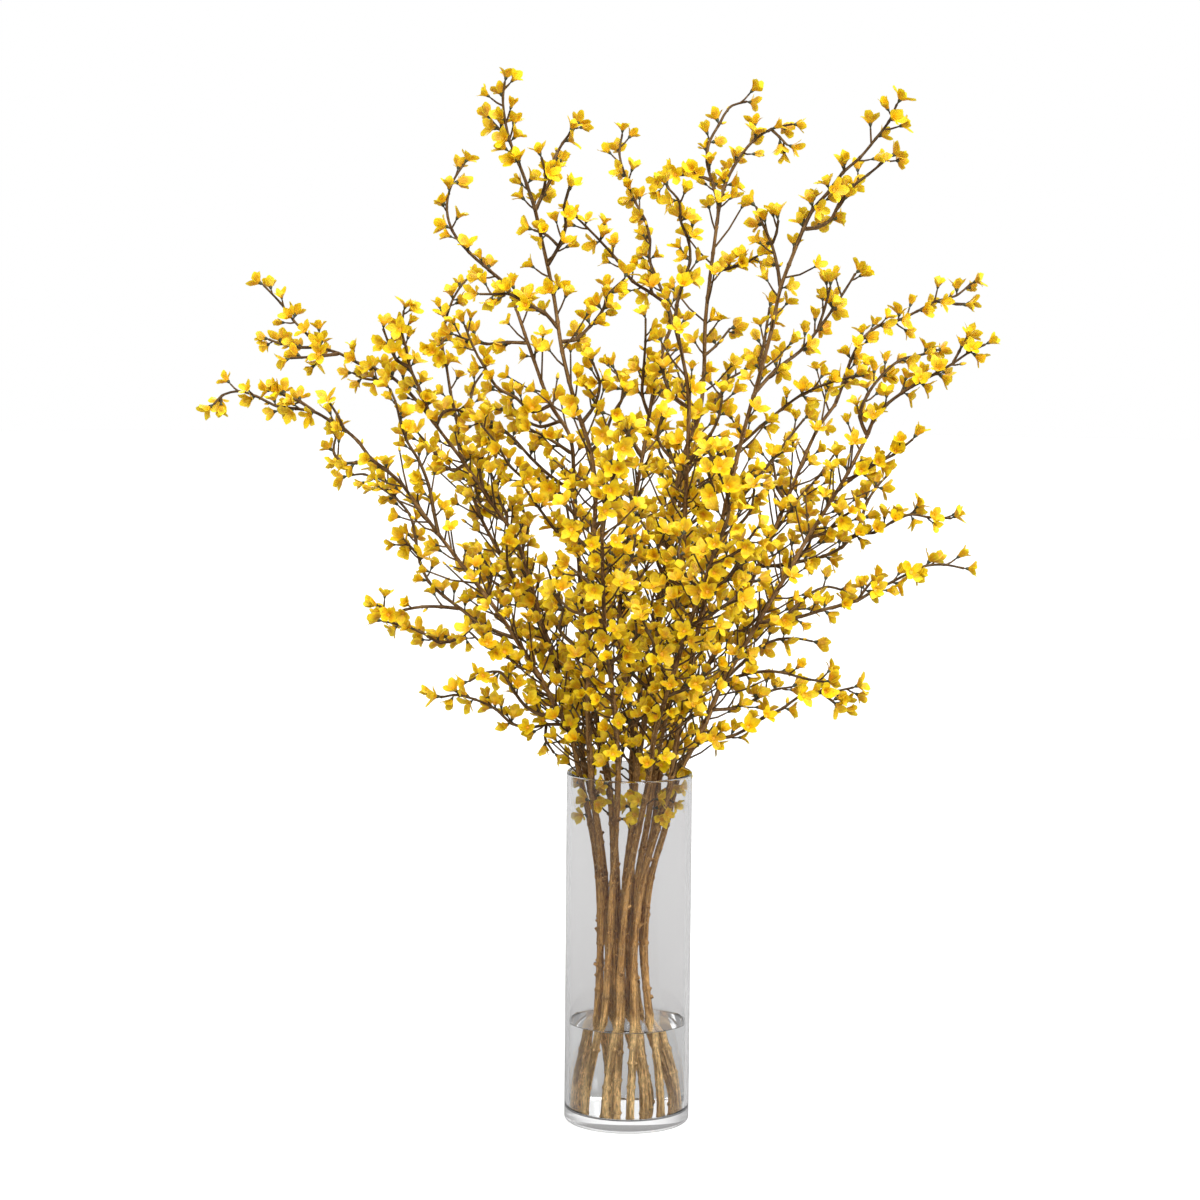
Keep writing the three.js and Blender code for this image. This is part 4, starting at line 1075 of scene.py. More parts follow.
# ---- Bark and wood of the branches ----
# Each branch is one piece of living wood: a stem, its twigs and its short shoots. It thickens at
# each node and where a twig leaves it, and its brown bark is streaked and dotted with pores. Inside
# the vase its bark is painted paler: painted light for the light that the glass and water hold
# back.

STEM_RING_SIDES = 12
TWIG_RING_SIDES = 7
RING_STEP = 8
NODE_RINGS = (1.6, 3.6)  # rings this near a node on both sides
TIP_RINGS = ((0.7, 0.85), (1.6, 0.5))  # rise and girth of the rings that round off a tip
NODE_STEP = 34  # between the nodes drawn along a straight run of wood
NODE_WANDER = 0.5  # of that step
NODE_SWELL = (0.08, 0.34)  # least and most, as a share of the wood's radius
NODE_SWELL_REACH = 2.2
UNEVEN = 0.1
COLLAR = 9  # length of the thickening where a twig leaves older wood
COLLAR_SWELL = 0.4
ROOT_GIRTH = 0.45  # of a twig's end inside older wood
TWIG_GIRTH = 1.02
STEM_GIRTH = 0.84  # girth of the round wood against the faceted solid's corners
STEM_SLIMMING = 0.1  # share of its girth that a stem loses over this run above the rim
SLIMMING_RUN = 180
TWIG_AGE = 0.16  # of the bark at a twig's root; at its tip it's 0
SPUR_AGE = 0.06
SPUR_GIRTHS = (1, 0.9, 0.8)
WET = WATER_TOP / MM
STEM_AGES_AND_PAINTED_LIGHT = (  # height, and how far the bark is towards old pale wood there; inside the vase it is raised as painted light
    (0, 1), (WET, 1), (WET + 14, 0.84), (300, 0.74), (RIM, 0.56), (620, 0.4), (1300, 0.26),
)
WOOD_SEED = 9000
STUB_STEP = 46
STUBS = (3.5, 9)  # shortest and longest
STUB_RADIUS = (1.5, 2.4)
STUB_RISE = (0.2, 0.9)  # least, and the spread on top
STUB_FOOT_GIRTH = 1.3
STUB_REACH = 0.6  # of its length, past the stem's own thickness
STUB_INSET = 0.8  # of the stem's radius at its foot
GRAIN_SHIFT = 37  # so that no two runs of wood have the same streaks
SHARP_BARK = 65  # degrees

# Looks of the bark. A stretch below 1 draws a pattern out along the wood. A range goes from two
# values of a pattern to two shares, which are 0 and 1 where it gives only the first two. Shades
# multiply the colour below them.
# The palest stops fall on the wood inside the vase. They are partly old pale wood and partly
# painted light, brighter than bark is, to make up for the light that the glass and water hold back.
BARK_TINTS = (  # age, then red, green and blue
    (0, 0.08, 0.045, 0.014), (0.16, 0.145, 0.08, 0.027), (0.4, 0.21, 0.115, 0.037),
    (0.58, 0.31, 0.173, 0.056), (0.8, 0.53, 0.3, 0.1), (1, 1.0, 0.7, 0.32),
)
STREAK_STRETCH = 0.16
STREAK_SCALE = 900
STREAK_ROUGHNESS = 0.65
STREAK_RANGE = (0.36, 0.62)
STREAK_SHADES = ((0.46, 0.39, 0.29, 1), (1.3, 1.27, 1.2, 1))
BAND_STRETCH = 0.07
BAND_SCALE = 300
BAND_RANGE = (0.38, 0.62)
BAND_SHADES = ((0.4, 0.33, 0.24, 1), (1.15, 1.15, 1.15, 1))
PATCH_SCALE = 60
PATCH_RANGE = (0.45, 0.75, 0, 0.5)
PATCH_TINT = (0.2, 0.13, 0.06, 1)
PORE_STRETCH = 0.55
PORE_SCALE = 330
PORE_RANGE = (0.17, 0.3, 1, 0)
PORE_TINT = (0.46, 0.3, 0.14, 1)
PORE_SHARES = (0.12, 0.7)  # how much a pore shows on the youngest and the oldest bark
BARK_RELIEF = (0.7, 0.0005)


def smooth_run(a, b, from_a, into_b, t):
    """The point of a smooth run between two points, with its directions at both ends."""
    reach = distance(a, b)
    point = (0, 0, 0)
    for share, value in (
        (2 * t**3 - 3 * t**2 + 1, a), (3 * t**2 - 2 * t**3, b),
        ((t**3 - 2 * t**2 + t) * reach, from_a), ((t**3 - t**2) * reach, into_b),
    ):
        point = plus(point, share, value)
    return point


def ring_stops(nodes):
    """Distances at which a run of wood has rings: close at its nodes, even between them."""
    stops = [0]
    for node, after in zip(nodes, nodes[1:]):
        room = after - node
        near = [ring for ring in NODE_RINGS if ring < room / 2 - 1]
        inner = near[-1] if near else 0
        steps = max(1, round((room - 2 * inner) / RING_STEP))
        stops += [node + ring for ring in near]
        stops += [node + inner + (room - 2 * inner) * s / steps for s in range(1, steps)]
        stops += [after - ring for ring in reversed(near)] + [after]
    return stops


# The stem bark's age by height, with painted light added inside the vase.
def age_and_painted_light(height):
    for (low, start), (high, end) in zip(STEM_AGES_AND_PAINTED_LIGHT, STEM_AGES_AND_PAINTED_LIGHT[1:]):
        if height <= high:
            return start + (end - start) * (height - low) / (high - low)
    return STEM_AGES_AND_PAINTED_LIGHT[-1][1]


def wood_run(path, stem, draw):
    """Rings along a path: each has its centre, its thickness, its way along and its age."""
    points, radii = path["points"], path["radii"]
    tangents = [frame[0] for frame in path["frames"]]
    rings = []
    travelled = 0
    for i in range(len(points) - 1):
        length = distance(points[i], points[i + 1])
        parts = max(1, round(length / NODE_STEP))
        nodes = [
            length * (part + (NODE_WANDER * (draw() - 0.5) if 0 < part < parts else 0)) / parts
            for part in range(parts + 1)
        ]
        swells = [within(NODE_SWELL, draw()) for _ in nodes]
        for stop in ring_stops(nodes)[1 if rings else 0:]:
            t = stop / length
            centre = smooth_run(points[i], points[i + 1], tangents[i], tangents[i + 1], t)
            radius = within(radii[i:i + 2], t)
            swell = 1 + UNEVEN * (draw() - 0.5)
            for node, most in zip(nodes, swells):
                swell += most * math.exp(-(((stop - node) / NODE_SWELL_REACH) ** 2))
            at = travelled + stop
            if stem:
                slim = min(max((centre[2] - RIM) / SLIMMING_RUN, 0), 1)
                girth = STEM_GIRTH * (1 - STEM_SLIMMING * slim)
                age = age_and_painted_light(centre[2])
            else:
                thinning = TWIG_ROOT_RADIUS - TWIG_TIP_RADIUS
                age = TWIG_AGE * (radius - TWIG_TIP_RADIUS) / thinning
                if at < COLLAR + radius:
                    swell += COLLAR_SWELL * (1 - at / (COLLAR + radius))
                girth = TWIG_GIRTH * min(1, ROOT_GIRTH + at / COLLAR)
            rings.append((centre, radius * girth * swell, at, age))
        travelled += length
    end, thick, at, age = rings[-1]
    for rise, share in TIP_RINGS:
        rings.append((plus(end, rise, tangents[-1]), thick * share, at + rise, age))
    return rings


def stub_runs(path, draw):
    """Short cut side shoots on the part of a stem that stands in the vase."""
    runs = []
    for start, end in zip(path["points"][1:len(BUNDLE)], path["points"][2:len(BUNDLE)]):
        for _ in range(max(1, round(distance(start, end) / STUB_STEP))):
            point = between(start, end, draw())
            turn = draw() * math.tau
            out = unit((math.cos(turn), math.sin(turn), STUB_RISE[1] * draw() + STUB_RISE[0]))
            length = within(STUBS, draw())
            thick = within(STUB_RADIUS, draw())
            age = age_and_painted_light(point[2])
            tip = plus(point, STEM_FOOT_RADIUS * STUB_INSET + length * STUB_REACH, out)
            runs.append([(point, thick * STUB_FOOT_GIRTH, 0, age), (tip, thick, length, age)])
    return runs


def spur_run(spur):
    """A flower's thin spur."""
    rows = zip(spur, SPUR_GIRTHS, arcs(spur))
    return [(point, girth * SPUR_RADIUS, at, SPUR_AGE) for point, girth, at in rows]


def point_mesh(name, points, edges, **values):
    """A mesh of points and edges whose points carry numbers or directions."""
    mesh = bpy.data.meshes.new(name)
    mesh.from_pydata([[part * MM for part in point] for point in points], edges, [])
    for key, row in values.items():
        if isinstance(row[0], tuple):
            flat = [part for direction in row for part in direction]
            mesh.attributes.new(key, "FLOAT_VECTOR", "POINT").data.foreach_set("vector", flat)
        else:
            mesh.attributes.new(key, "FLOAT", "POINT").data.foreach_set("value", row)
    return mesh


def new_tree(name, **inputs):
    """An empty geometry tree with named inputs, its geometry and those inputs."""
    made = bpy.data.node_groups.new(name, "GeometryNodeTree")
    made.interface.new_socket("Geometry", in_out="INPUT", socket_type="NodeSocketGeometry")
    for key, kind in inputs.items():
        title = key.replace("_", " ")
        made.interface.new_socket(title, in_out="INPUT", socket_type="NodeSocket" + kind)
    made.interface.new_socket("Geometry", in_out="OUTPUT", socket_type="NodeSocketGeometry")
    given = made.nodes.new("NodeGroupInput").outputs
    return made, given["Geometry"], given


def end_tree(tree, geometry, skin):
    """Ends a geometry tree with real mesh in its material."""
    whole = add(tree, "GeometryNodeRealizeInstances", {"Geometry": geometry})
    clad = add(tree, "GeometryNodeSetMaterial", {"Geometry": whole, "Material": skin})
    tree.links.new(clad, tree.nodes.new("NodeGroupOutput").inputs[0])
    return tree


def kept(tree, key, kind="FLOAT"):
    """A value that the points carry."""
    return add(tree, "GeometryNodeInputNamedAttribute", {"Name": key}, data_type=kind)


def maths(tree, operation, *values):
    """What an operation makes of one or two numbers."""
    return add(tree, "ShaderNodeMath", dict(enumerate(values)), operation=operation)


def stored(tree, geometry, key, value):
    """Geometry whose points carry a direction."""
    return add(tree, "GeometryNodeStoreNamedAttribute", {
        "Geometry": geometry, "Name": key, "Value": value,
    }, data_type="FLOAT_VECTOR")


def grown(name, mesh, tree, **values):
    """Runs a geometry tree on a mesh and returns the piece as a plain object."""
    seed = placed(name + "_source", mesh)
    modifier = seed.modifiers.new("grow", "NODES")
    modifier.node_group = tree
    sockets = {item.name: item.identifier for item in tree.interface.items_tree}
    for key, value in values.items():
        modifier[sockets[key.replace("_", " ")]] = value
    graph = bpy.context.evaluated_depsgraph_get()
    plain = bpy.data.meshes.new_from_object(
        seed.evaluated_get(graph), preserve_all_data_layers=True, depsgraph=graph
    )
    plain.name = name
    seed.modifiers.remove(modifier)
    bpy.data.objects.remove(seed)
    bpy.data.meshes.remove(mesh)
    return placed(name, plain)


tree, line, given = new_tree("branch wood", Stem_Sides="Int", Twig_Sides="Int", Bark="Material")
thick = kept(tree, "thick")
tubes = add(tree, "GeometryNodeJoinGeometry")
for test, sides in (("GREATER_THAN", "Stem Sides"), ("LESS_THAN", "Twig Sides")):
    wanted = add(tree, "FunctionNodeCompare", {0: kept(tree, "stem"), 1: 0.5}, operation=test)
    runs = add(tree, "GeometryNodeMeshToCurve", {"Mesh": line, "Selection": wanted})
    circle = add(tree, "GeometryNodeCurvePrimitiveCircle", {"Resolution": given[sides]})
    tube = add(tree, "GeometryNodeCurveToMesh", {
        "Curve": runs, "Scale": thick, "Fill Caps": True,
        "Profile Curve": stored(tree, circle, "around", add(tree, "GeometryNodeInputPosition")),
    })
    tree.links.new(tube, tubes.node.inputs[0])
around = add(tree, "ShaderNodeSeparateXYZ", {"Vector": kept(tree, "around", "FLOAT_VECTOR")})
grain = add(tree, "ShaderNodeCombineXYZ", {
    0: maths(tree, "MULTIPLY", around.node.outputs[0], thick),
    1: maths(tree, "MULTIPLY", around.node.outputs[1], thick),
    2: kept(tree, "along"),
})
rounded = add(tree, "GeometryNodeSetShadeSmooth", {
    "Geometry": stored(tree, tubes, "grain", grain),
})
corner = add(tree, "FunctionNodeCompare", {
    0: add(tree, "GeometryNodeInputMeshEdgeAngle"), 1: math.radians(SHARP_BARK),
})
edged = add(tree, "GeometryNodeSetShadeSmooth", {
    "Geometry": rounded, "Selection": corner, "Shade Smooth": False,
}, domain="EDGE")
wood_tree = end_tree(tree, edged, given["Bark"])


def carried(tree, key, output="Fac"):
    """A value that the mesh carries, in a material."""
    return add(tree, "ShaderNodeAttribute", output=output, attribute_name=key)


def mixed(tree, share, a, b, blend="MIX"):
    """Two colours mixed by a share, or multiplied."""
    return add(tree, "ShaderNodeMix", {
        0: share, 6: a, 7: b,
    }, 2, data_type="RGBA", blend_type=blend)


def shaded(tree, colour, share, shades):
    """A colour multiplied by a mix of two shades."""
    return mixed(tree, 1, colour, mixed(tree, share, *shades), "MULTIPLY")


def ramped(tree, value, stops):
    """A colour from a ramp of stops, each a place with its red, green and blue."""
    colour = add(tree, "ShaderNodeValToRGB", {"Fac": value})
    elements = colour.node.color_ramp.elements
    for number, (place, *tint) in enumerate(stops):
        stop = elements[number] if number < 2 else elements.new(place)
        stop.position = place
        stop.color = (*tint, 1)
    return colour


def drawn_out(tree, grain, share):
    """Places along the grain that are drawn out, so that noise there makes long streaks."""
    return add(tree, "ShaderNodeMapping", {"Vector": grain, "Scale": (1, 1, share)})


bark, tree, shader = finish("forsythia bark", Roughness=0.75, Specular_IOR_Level=0.2)
grain = carried(tree, "grain", "Vector")
# The bark's age, which inside the vase also carries painted light.
age = carried(tree, "age")
streaks = noise(
    tree, drawn_out(tree, grain, STREAK_STRETCH), STREAK_SCALE, 5, STREAK_ROUGHNESS
)
bands = noise(tree, drawn_out(tree, grain, BAND_STRETCH), BAND_SCALE, 2)
patches = noise(tree, grain, PATCH_SCALE, 3)
spots = add(tree, "ShaderNodeTexVoronoi", {
    "Vector": drawn_out(tree, grain, PORE_STRETCH), "Scale": PORE_SCALE,
}, "Distance")
pores = ranged(tree, spots, *PORE_RANGE)
aged = ramped(tree, age, BARK_TINTS)
streaked = shaded(tree, aged, ranged(tree, streaks, *STREAK_RANGE), STREAK_SHADES)
banded = shaded(tree, streaked, ranged(tree, bands, *BAND_RANGE), BAND_SHADES)
mottled = mixed(tree, ranged(tree, patches, *PATCH_RANGE), banded, PATCH_TINT)
dots = maths(tree, "MULTIPLY", pores, ranged(tree, age, 0, 1, *PORE_SHARES))
tree.links.new(mixed(tree, dots, mottled, PORE_TINT), shader.inputs["Base Color"])
bump(tree, shader, maths(tree, "ADD", streaks, pores), *BARK_RELIEF)

for index, branch in enumerate(BRANCHES):
    runs = []
    for path in wood[index]:
        draw = draws_of(path, WOOD_SEED)
        stem = path is wood[index][0]
        runs.append((wood_run(path, stem, draw), stem))
        if stem:
            runs += [(run, False) for run in stub_runs(path, draw)]
        runs += [(spur_run(spur), False) for spur in path["spurs"]]
    rows, edges = [], []
    for number, (rings, stem) in enumerate(runs):
        edges += [(len(rows) + k, len(rows) + k + 1) for k in range(len(rings) - 1)]
        rows += [
            (centre, thick * MM, (along + GRAIN_SHIFT * number) * MM, age, float(stem))
            for centre, thick, along, age in rings
        ]
    points, thick, along, age, stem = zip(*rows)
    name = branch["name"]
    mesh = point_mesh(name, points, edges, thick=thick, along=along, age=age, stem=stem)
    piece = grown(
        name + "_wood", mesh, wood_tree,
        Stem_Sides=STEM_RING_SIDES, Twig_Sides=TWIG_RING_SIDES, Bark=bark,
    )
    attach(piece, "root")
    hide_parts(name)

# ---- Calyces and buds ----
# A short green-brown stalk and a cup of four pointed sepals hold each flower. Closed buds are
# folded petals with the sepals still tight round them.

STALK_SIDES = 8
CALYX_RINGS = (  # radius, height, rise of the sepals' tips, how far out the notches between lie
    (1.2, -1.2), (0.95, 1.4), (1.15, 3.0), (2.0, 4.6), (2.8, 6.5, 0.9, -0.4), (1.2, 6.4),
)
CALYX_HEIGHT = 7.5  # as its colour takes it
BUD_RINGS = ((1.0, -1.0), (0.7, 0.8), (1.5, 2.2), (1.75, 4.0), (1.5, 6.2), (0.5, 8.4))
BUD_HEIGHT = 6  # at which its colour is full
TONE_SEED_STEP = 7
OPENING = (12, 40)  # how far a flower's petals lean out, in degrees
YOUNG_OPENING = (5, 27)  # of the smaller flowers along a twig
CALYX_TINTS = (  # share of its height, then red, green and blue
    (0.1, 0.035, 0.02, 0.004), (0.55, 0.022, 0.026, 0.005), (1, 0.07, 0.062, 0.008),
)
CALYX_FLECK_SCALE = 700
CALYX_SHADES = ((0.5, 0.45, 0.4, 1), (1.5, 1.5, 1.4, 1))
THROAT_RANGE = (0.04, 0.2)
THROAT_TINT = (0.7, 0.33, 0.003, 1)
BUD_TINTS = ((0.3, 0.05, 0.04, 0.012), (0.62, 0.82, 0.5, 0.01))
BUD_FLECK_SCALE = 500


def cup_ring(radius, height, rise=0, notch=0):
    """A ring round the stalk, on which a sepal's tip and a notch can take turns."""
    ring = []
    for k in range(STALK_SIDES):
        turn = k * math.tau / STALK_SIDES
        out, up = (radius + notch, height) if k % 2 else (radius, height + rise)
        ring.append((out * math.cos(turn), out * math.sin(turn), up))
    return ring


def cup(name, rows, full_height):
    """A small closed shell of rings, each point of which carries how far up it is."""
    shell = bmesh.new()
    layer = shell.verts.layers.float.new("rise")
    rings = []
    for row in rows:
        rings.append([])
        for point in cup_ring(*row):
            vert = shell.verts.new([part * MM for part in point])
            vert[layer] = point[2] / full_height
            rings[-1].append(vert)
    for low, high in zip(rings, rings[1:]):
        for k in range(STALK_SIDES):
            after = (k + 1) % STALK_SIDES
            shell.faces.new((low[k], low[after], high[after], high[k]))
    shell.faces.new(rings[0][::-1])
    shell.faces.new(rings[-1])
    return shell_object(name, shell)


calyx_shape = cup("calyx_shape", CALYX_RINGS, CALYX_HEIGHT)
throat = calyx_shape.data.attributes.new("throat", "FLOAT", "POINT")
for point in throat.data[-STALK_SIDES:]:  # the last ring, which is the floor of the cup
    point.value = 1
bud_shape = cup("bud_shape", BUD_RINGS, BUD_HEIGHT)


def spots_mesh(name, flowers):
    """Points that carry each flower's direction, size, opening and tone."""
    draws = [seeded(SMALL_FLOWER_SEED + TONE_SEED_STEP * k) for k in range(len(flowers))]
    limits = [YOUNG_OPENING if flower.get("young") else OPENING for flower in flowers]
    return point_mesh(
        name, [flower["base"] for flower in flowers], [],
        size=[flower["size"] for flower in flowers],
        open=[math.radians(within(pair, draw())) for pair, draw in zip(limits, draws)],
        tone=[draw() for draw in draws],
        axis=[flower["axis"] for flower in flowers],
        ahead=[petal_way(flower, 0) for flower in flowers],
    )


def facing(tree):
    """The turn that puts a shape's Z along a point's axis and its X ahead."""
    return add(tree, "FunctionNodeAxesToRotation", {
        "Primary Axis": kept(tree, "axis", "FLOAT_VECTOR"),
        "Secondary Axis": kept(tree, "ahead", "FLOAT_VECTOR"),
    }, primary_axis="Z", secondary_axis="X")


def copies_on(tree, points, shape, turn, size):
    """A copy of a shape on each point."""
    return add(tree, "GeometryNodeInstanceOnPoints", {
        "Points": points, "Rotation": turn, "Scale": size,
        "Instance": add(tree, "GeometryNodeObjectInfo", {"Object": shape}, "Geometry"),
    })


tree, points, given = new_tree("cups on a branch", Shape="Object", Skin="Material")
cups = copies_on(tree, points, given["Shape"], facing(tree), kept(tree, "size"))
cup_tree = end_tree(tree, cups, given["Skin"])

calyx_skin, tree, shader = finish("green-brown calyx", Roughness=0.6)
green = ramped(tree, carried(tree, "rise"), CALYX_TINTS)
flecks = noise(tree, object_place(tree), CALYX_FLECK_SCALE, 3)
flecked = shaded(tree, green, flecks, CALYX_SHADES)
in_throat = ranged(tree, carried(tree, "throat"), *THROAT_RANGE)
gilded = mixed(tree, in_throat, flecked, THROAT_TINT)
tree.links.new(gilded, shader.inputs["Base Color"])

bud_skin, tree, shader = finish("closed bud", Roughness=0.55)
flecks = maths(tree, "SUBTRACT", noise(tree, object_place(tree), BUD_FLECK_SCALE, 3), 0.5)
folded = ramped(tree, maths(tree, "ADD", carried(tree, "rise"), flecks), BUD_TINTS)
tree.links.new(folded, shader.inputs["Base Color"])

# ---- Petals ----
# Four soft petals to a flower, joined in a short tube inside the calyx and opened in a cup. They
# are rounded at the tip, a little hollow along the middle and thin enough for light to glow.

PETALS = 4
PETAL_LENGTH = 16.6
PETAL_ROWS = 4
PETAL_COLUMNS = 4
PETAL_THICK = 0.28
PETAL_HALF_WIDTHS = (1.4, 3.4, 5.2, 5.3, 2.4)
PETAL_HOLLOW = 1.7  # how far its sides stand in front of its middle
HOLLOW_SHIFT = 0.12  # moves the deepest part towards its foot
HOLLOW_END = 0.9
PETAL_BEND = 0.7
PETAL_FLARE = 4.6  # how far its tip curls outwards
FLARE_POWER = 2.4
TIP_ROUNDING = 0.05  # of its length
SHARP_PETAL = 75  # degrees
TUBE_RISE = 5.2
TUBE_OUT = 0.7
SPREAD_JITTER = 0.22  # radians either way round the flower
OPENING_JITTER = 0.16
TWIST_JITTER = 0.35
SIZE_JITTER = 0.08
RUFFLE_SCALE = 150
RUFFLE = 0.0055  # at the tip
FRESH_TINTS = ((0.71, 0.36, 0.002, 1), (0.8, 0.545, 0.004, 1))  # of the deepest and palest flower
PAINTED_SIDE_SHADES = ((0.72, 0.6, 0.8, 1), (1, 1, 1, 1))  # painted shade on its outer side, and none on its inner side
OCHRE_PATCH_SCALE = 85
OCHRE_PATCH_RANGE = (0.46, 0.64, 0, 0.8)
OCHRE_PATCH_TINT = (0.39, 0.2, 0.002, 1)
EDGE_RANGE = (0.6, 1, 0, 0.8)
EDGE_TINT = (0.82, 0.615, 0.008, 1)
FOOT_RANGE = (0.02, 0.42, 1, 0)
FOOT_TINT = (0.68, 0.3, 0.002, 1)
RIB_TURN = 13  # of the wave from its middle to its side, in radians
VEIN_SCALE = 420
VEIN_RANGE = (0.2, 0.7, 0, 0.5)
VEIN_TINT = (0.74, 0.36, 0.002, 1)
PETAL_RELIEF = (0.35, 0.0004)


def petal_point(t, s, lift):
    """A point of a petal by its share of the length, its place across and its side's lift."""
    hollow = -PETAL_HOLLOW * s * s * math.sin(math.pi * min(t + HOLLOW_SHIFT, HOLLOW_END))
    bend = PETAL_BEND * math.sin(math.pi * t) + PETAL_FLARE * t**FLARE_POWER
    x = TUBE_OUT + bend + hollow - lift
    y = PETAL_HALF_WIDTHS[round(t * PETAL_ROWS)] * s
    z = PETAL_LENGTH * (t - TIP_ROUNDING * s * s * (t == 1))
    return (x * MM, y * MM, z * MM)


def petal_shell():
    """One petal as a thin closed leaf, with how far out and how far across each point lies."""
    shell = bmesh.new()
    layers = [shell.verts.layers.float.new(key) for key in ("reach", "across", "inner")]
    verts = {}
    for side in (1, -1):
        for r in range(PETAL_ROWS + 1):
            for c in range(PETAL_COLUMNS + 1):
                rim = c in (0, PETAL_COLUMNS) or r in (0, PETAL_ROWS)
                if side == -1 and rim:
                    verts[side, r, c] = verts[1, r, c]
                    continue
                t, s = r / PETAL_ROWS, 2 * c / PETAL_COLUMNS - 1
                vert = shell.verts.new(petal_point(t, s, 0 if rim else side * PETAL_THICK / 2))
                verts[side, r, c] = vert
                for layer, value in zip(layers, (t, s, 0.5 if rim else (1 + side) / 2)):
                    vert[layer] = value
        for r in range(PETAL_ROWS):
            for c in range(PETAL_COLUMNS):
                corners = ((r, c), (r, c + 1), (r + 1, c + 1), (r + 1, c))
                shell.faces.new([verts[side, *corner] for corner in corners[::side]])
    bmesh.ops.recalc_face_normals(shell, faces=shell.faces)
    return shell_object("petal_shape", shell, SHARP_PETAL)


petal_shape = petal_shell()


def jitter(tree, middle, spread, seed):
    """A steady random value for each copy."""
    return add(tree, "FunctionNodeRandomValue", {
        2: middle - spread, 3: middle + spread, "Seed": seed,
        "ID": add(tree, "GeometryNodeInputIndex"),
    }, 1, data_type="FLOAT")


def turned_by(tree, turn, axis, angle):
    """A turn followed by another about one of its own axes."""
    return add(tree, "FunctionNodeRotateRotation", {
        "Rotation": turn,
        "Rotate By": add(tree, "FunctionNodeAxisAngleToRotation", {"Axis": axis, "Angle": angle}),
    }, rotation_space="LOCAL")


def scaled(tree, direction, share):
    inputs = {0: direction, "Scale": share}
    return add(tree, "ShaderNodeVectorMath", inputs, operation="SCALE")


tree, points, given = new_tree(
    "petals on a branch", Shape="Object", Petals="Int", Tube="Float", Skin="Material"
)
size = kept(tree, "size")
up_tube = scaled(
    tree, kept(tree, "axis", "FLOAT_VECTOR"), maths(tree, "MULTIPLY", given["Tube"], size)
)
throats = add(tree, "GeometryNodeSetPosition", {"Geometry": points, "Offset": up_tube})
copies = add(tree, "GeometryNodeDuplicateElements", {
    "Geometry": throats, "Amount": given["Petals"],
}, domain="POINT")
place = maths(
    tree, "MULTIPLY", copies.node.outputs["Duplicate Index"],
    maths(tree, "DIVIDE", math.tau, given["Petals"]),
)
spread = maths(tree, "ADD", place, jitter(tree, 0, SPREAD_JITTER, 3))
opened = maths(tree, "ADD", kept(tree, "open"), jitter(tree, 0, OPENING_JITTER, 5))
turn = turned_by(tree, facing(tree), (0, 0, 1), spread)
turn = turned_by(tree, turn, (0, 1, 0), opened)
turn = turned_by(tree, turn, (0, 0, 1), jitter(tree, 0, TWIST_JITTER, 7))
grow = maths(tree, "MULTIPLY", size, jitter(tree, 1, SIZE_JITTER, 9))
petals = add(tree, "GeometryNodeRealizeInstances", {
    "Geometry": copies_on(tree, copies, given["Shape"], turn, grow),
})
wave = add(tree, "ShaderNodeTexNoise", {
    "Vector": add(tree, "GeometryNodeInputPosition"), "Scale": RUFFLE_SCALE, "Detail": 0,
}, "Color")
centred = add(tree, "ShaderNodeVectorMath", {0: wave, 1: (0.5, 0.5, 0.5)}, operation="SUBTRACT")
ruffle = scaled(tree, centred, maths(tree, "MULTIPLY", kept(tree, "reach"), RUFFLE))
ruffled = add(tree, "GeometryNodeSetPosition", {"Geometry": petals, "Offset": ruffle})
petal_tree = end_tree(tree, ruffled, given["Skin"])

petal_skin, tree, shader = finish(
    "forsythia yellow petal", Roughness=0.5, Specular_IOR_Level=0.3, Subsurface_Weight=0.25,
    Subsurface_Radius=(1, 0.6, 0.05), Subsurface_Scale=0.003,
)
reach = carried(tree, "reach")
across = carried(tree, "across")
place = object_place(tree)
fresh = mixed(tree, carried(tree, "tone"), *FRESH_TINTS)
# Painted shade: the outer side of each petal is darker and more ochre than its inner side.
shaded_outside = shaded(tree, fresh, carried(tree, "inner"), PAINTED_SIDE_SHADES)
# Darker ochre patches at random over the petals.
ochre_patches = ranged(tree, noise(tree, place, OCHRE_PATCH_SCALE, 2), *OCHRE_PATCH_RANGE)
ochre = mixed(tree, ochre_patches, shaded_outside, OCHRE_PATCH_TINT)
to_edge = maths(tree, "MAXIMUM", maths(tree, "ABSOLUTE", across), reach)
rimmed = mixed(tree, ranged(tree, to_edge, *EDGE_RANGE), ochre, EDGE_TINT)
deeper = mixed(tree, ranged(tree, reach, *FOOT_RANGE), rimmed, FOOT_TINT)
ribs = maths(tree, "COSINE", maths(tree, "MULTIPLY", across, RIB_TURN))
veined = maths(tree, "MULTIPLY", ribs, noise(tree, place, VEIN_SCALE, 3))
lined = mixed(tree, ranged(tree, veined, *VEIN_RANGE), deeper, VEIN_TINT)
tree.links.new(lined, shader.inputs["Base Color"])
bump(tree, shader, veined, *PETAL_RELIEF)

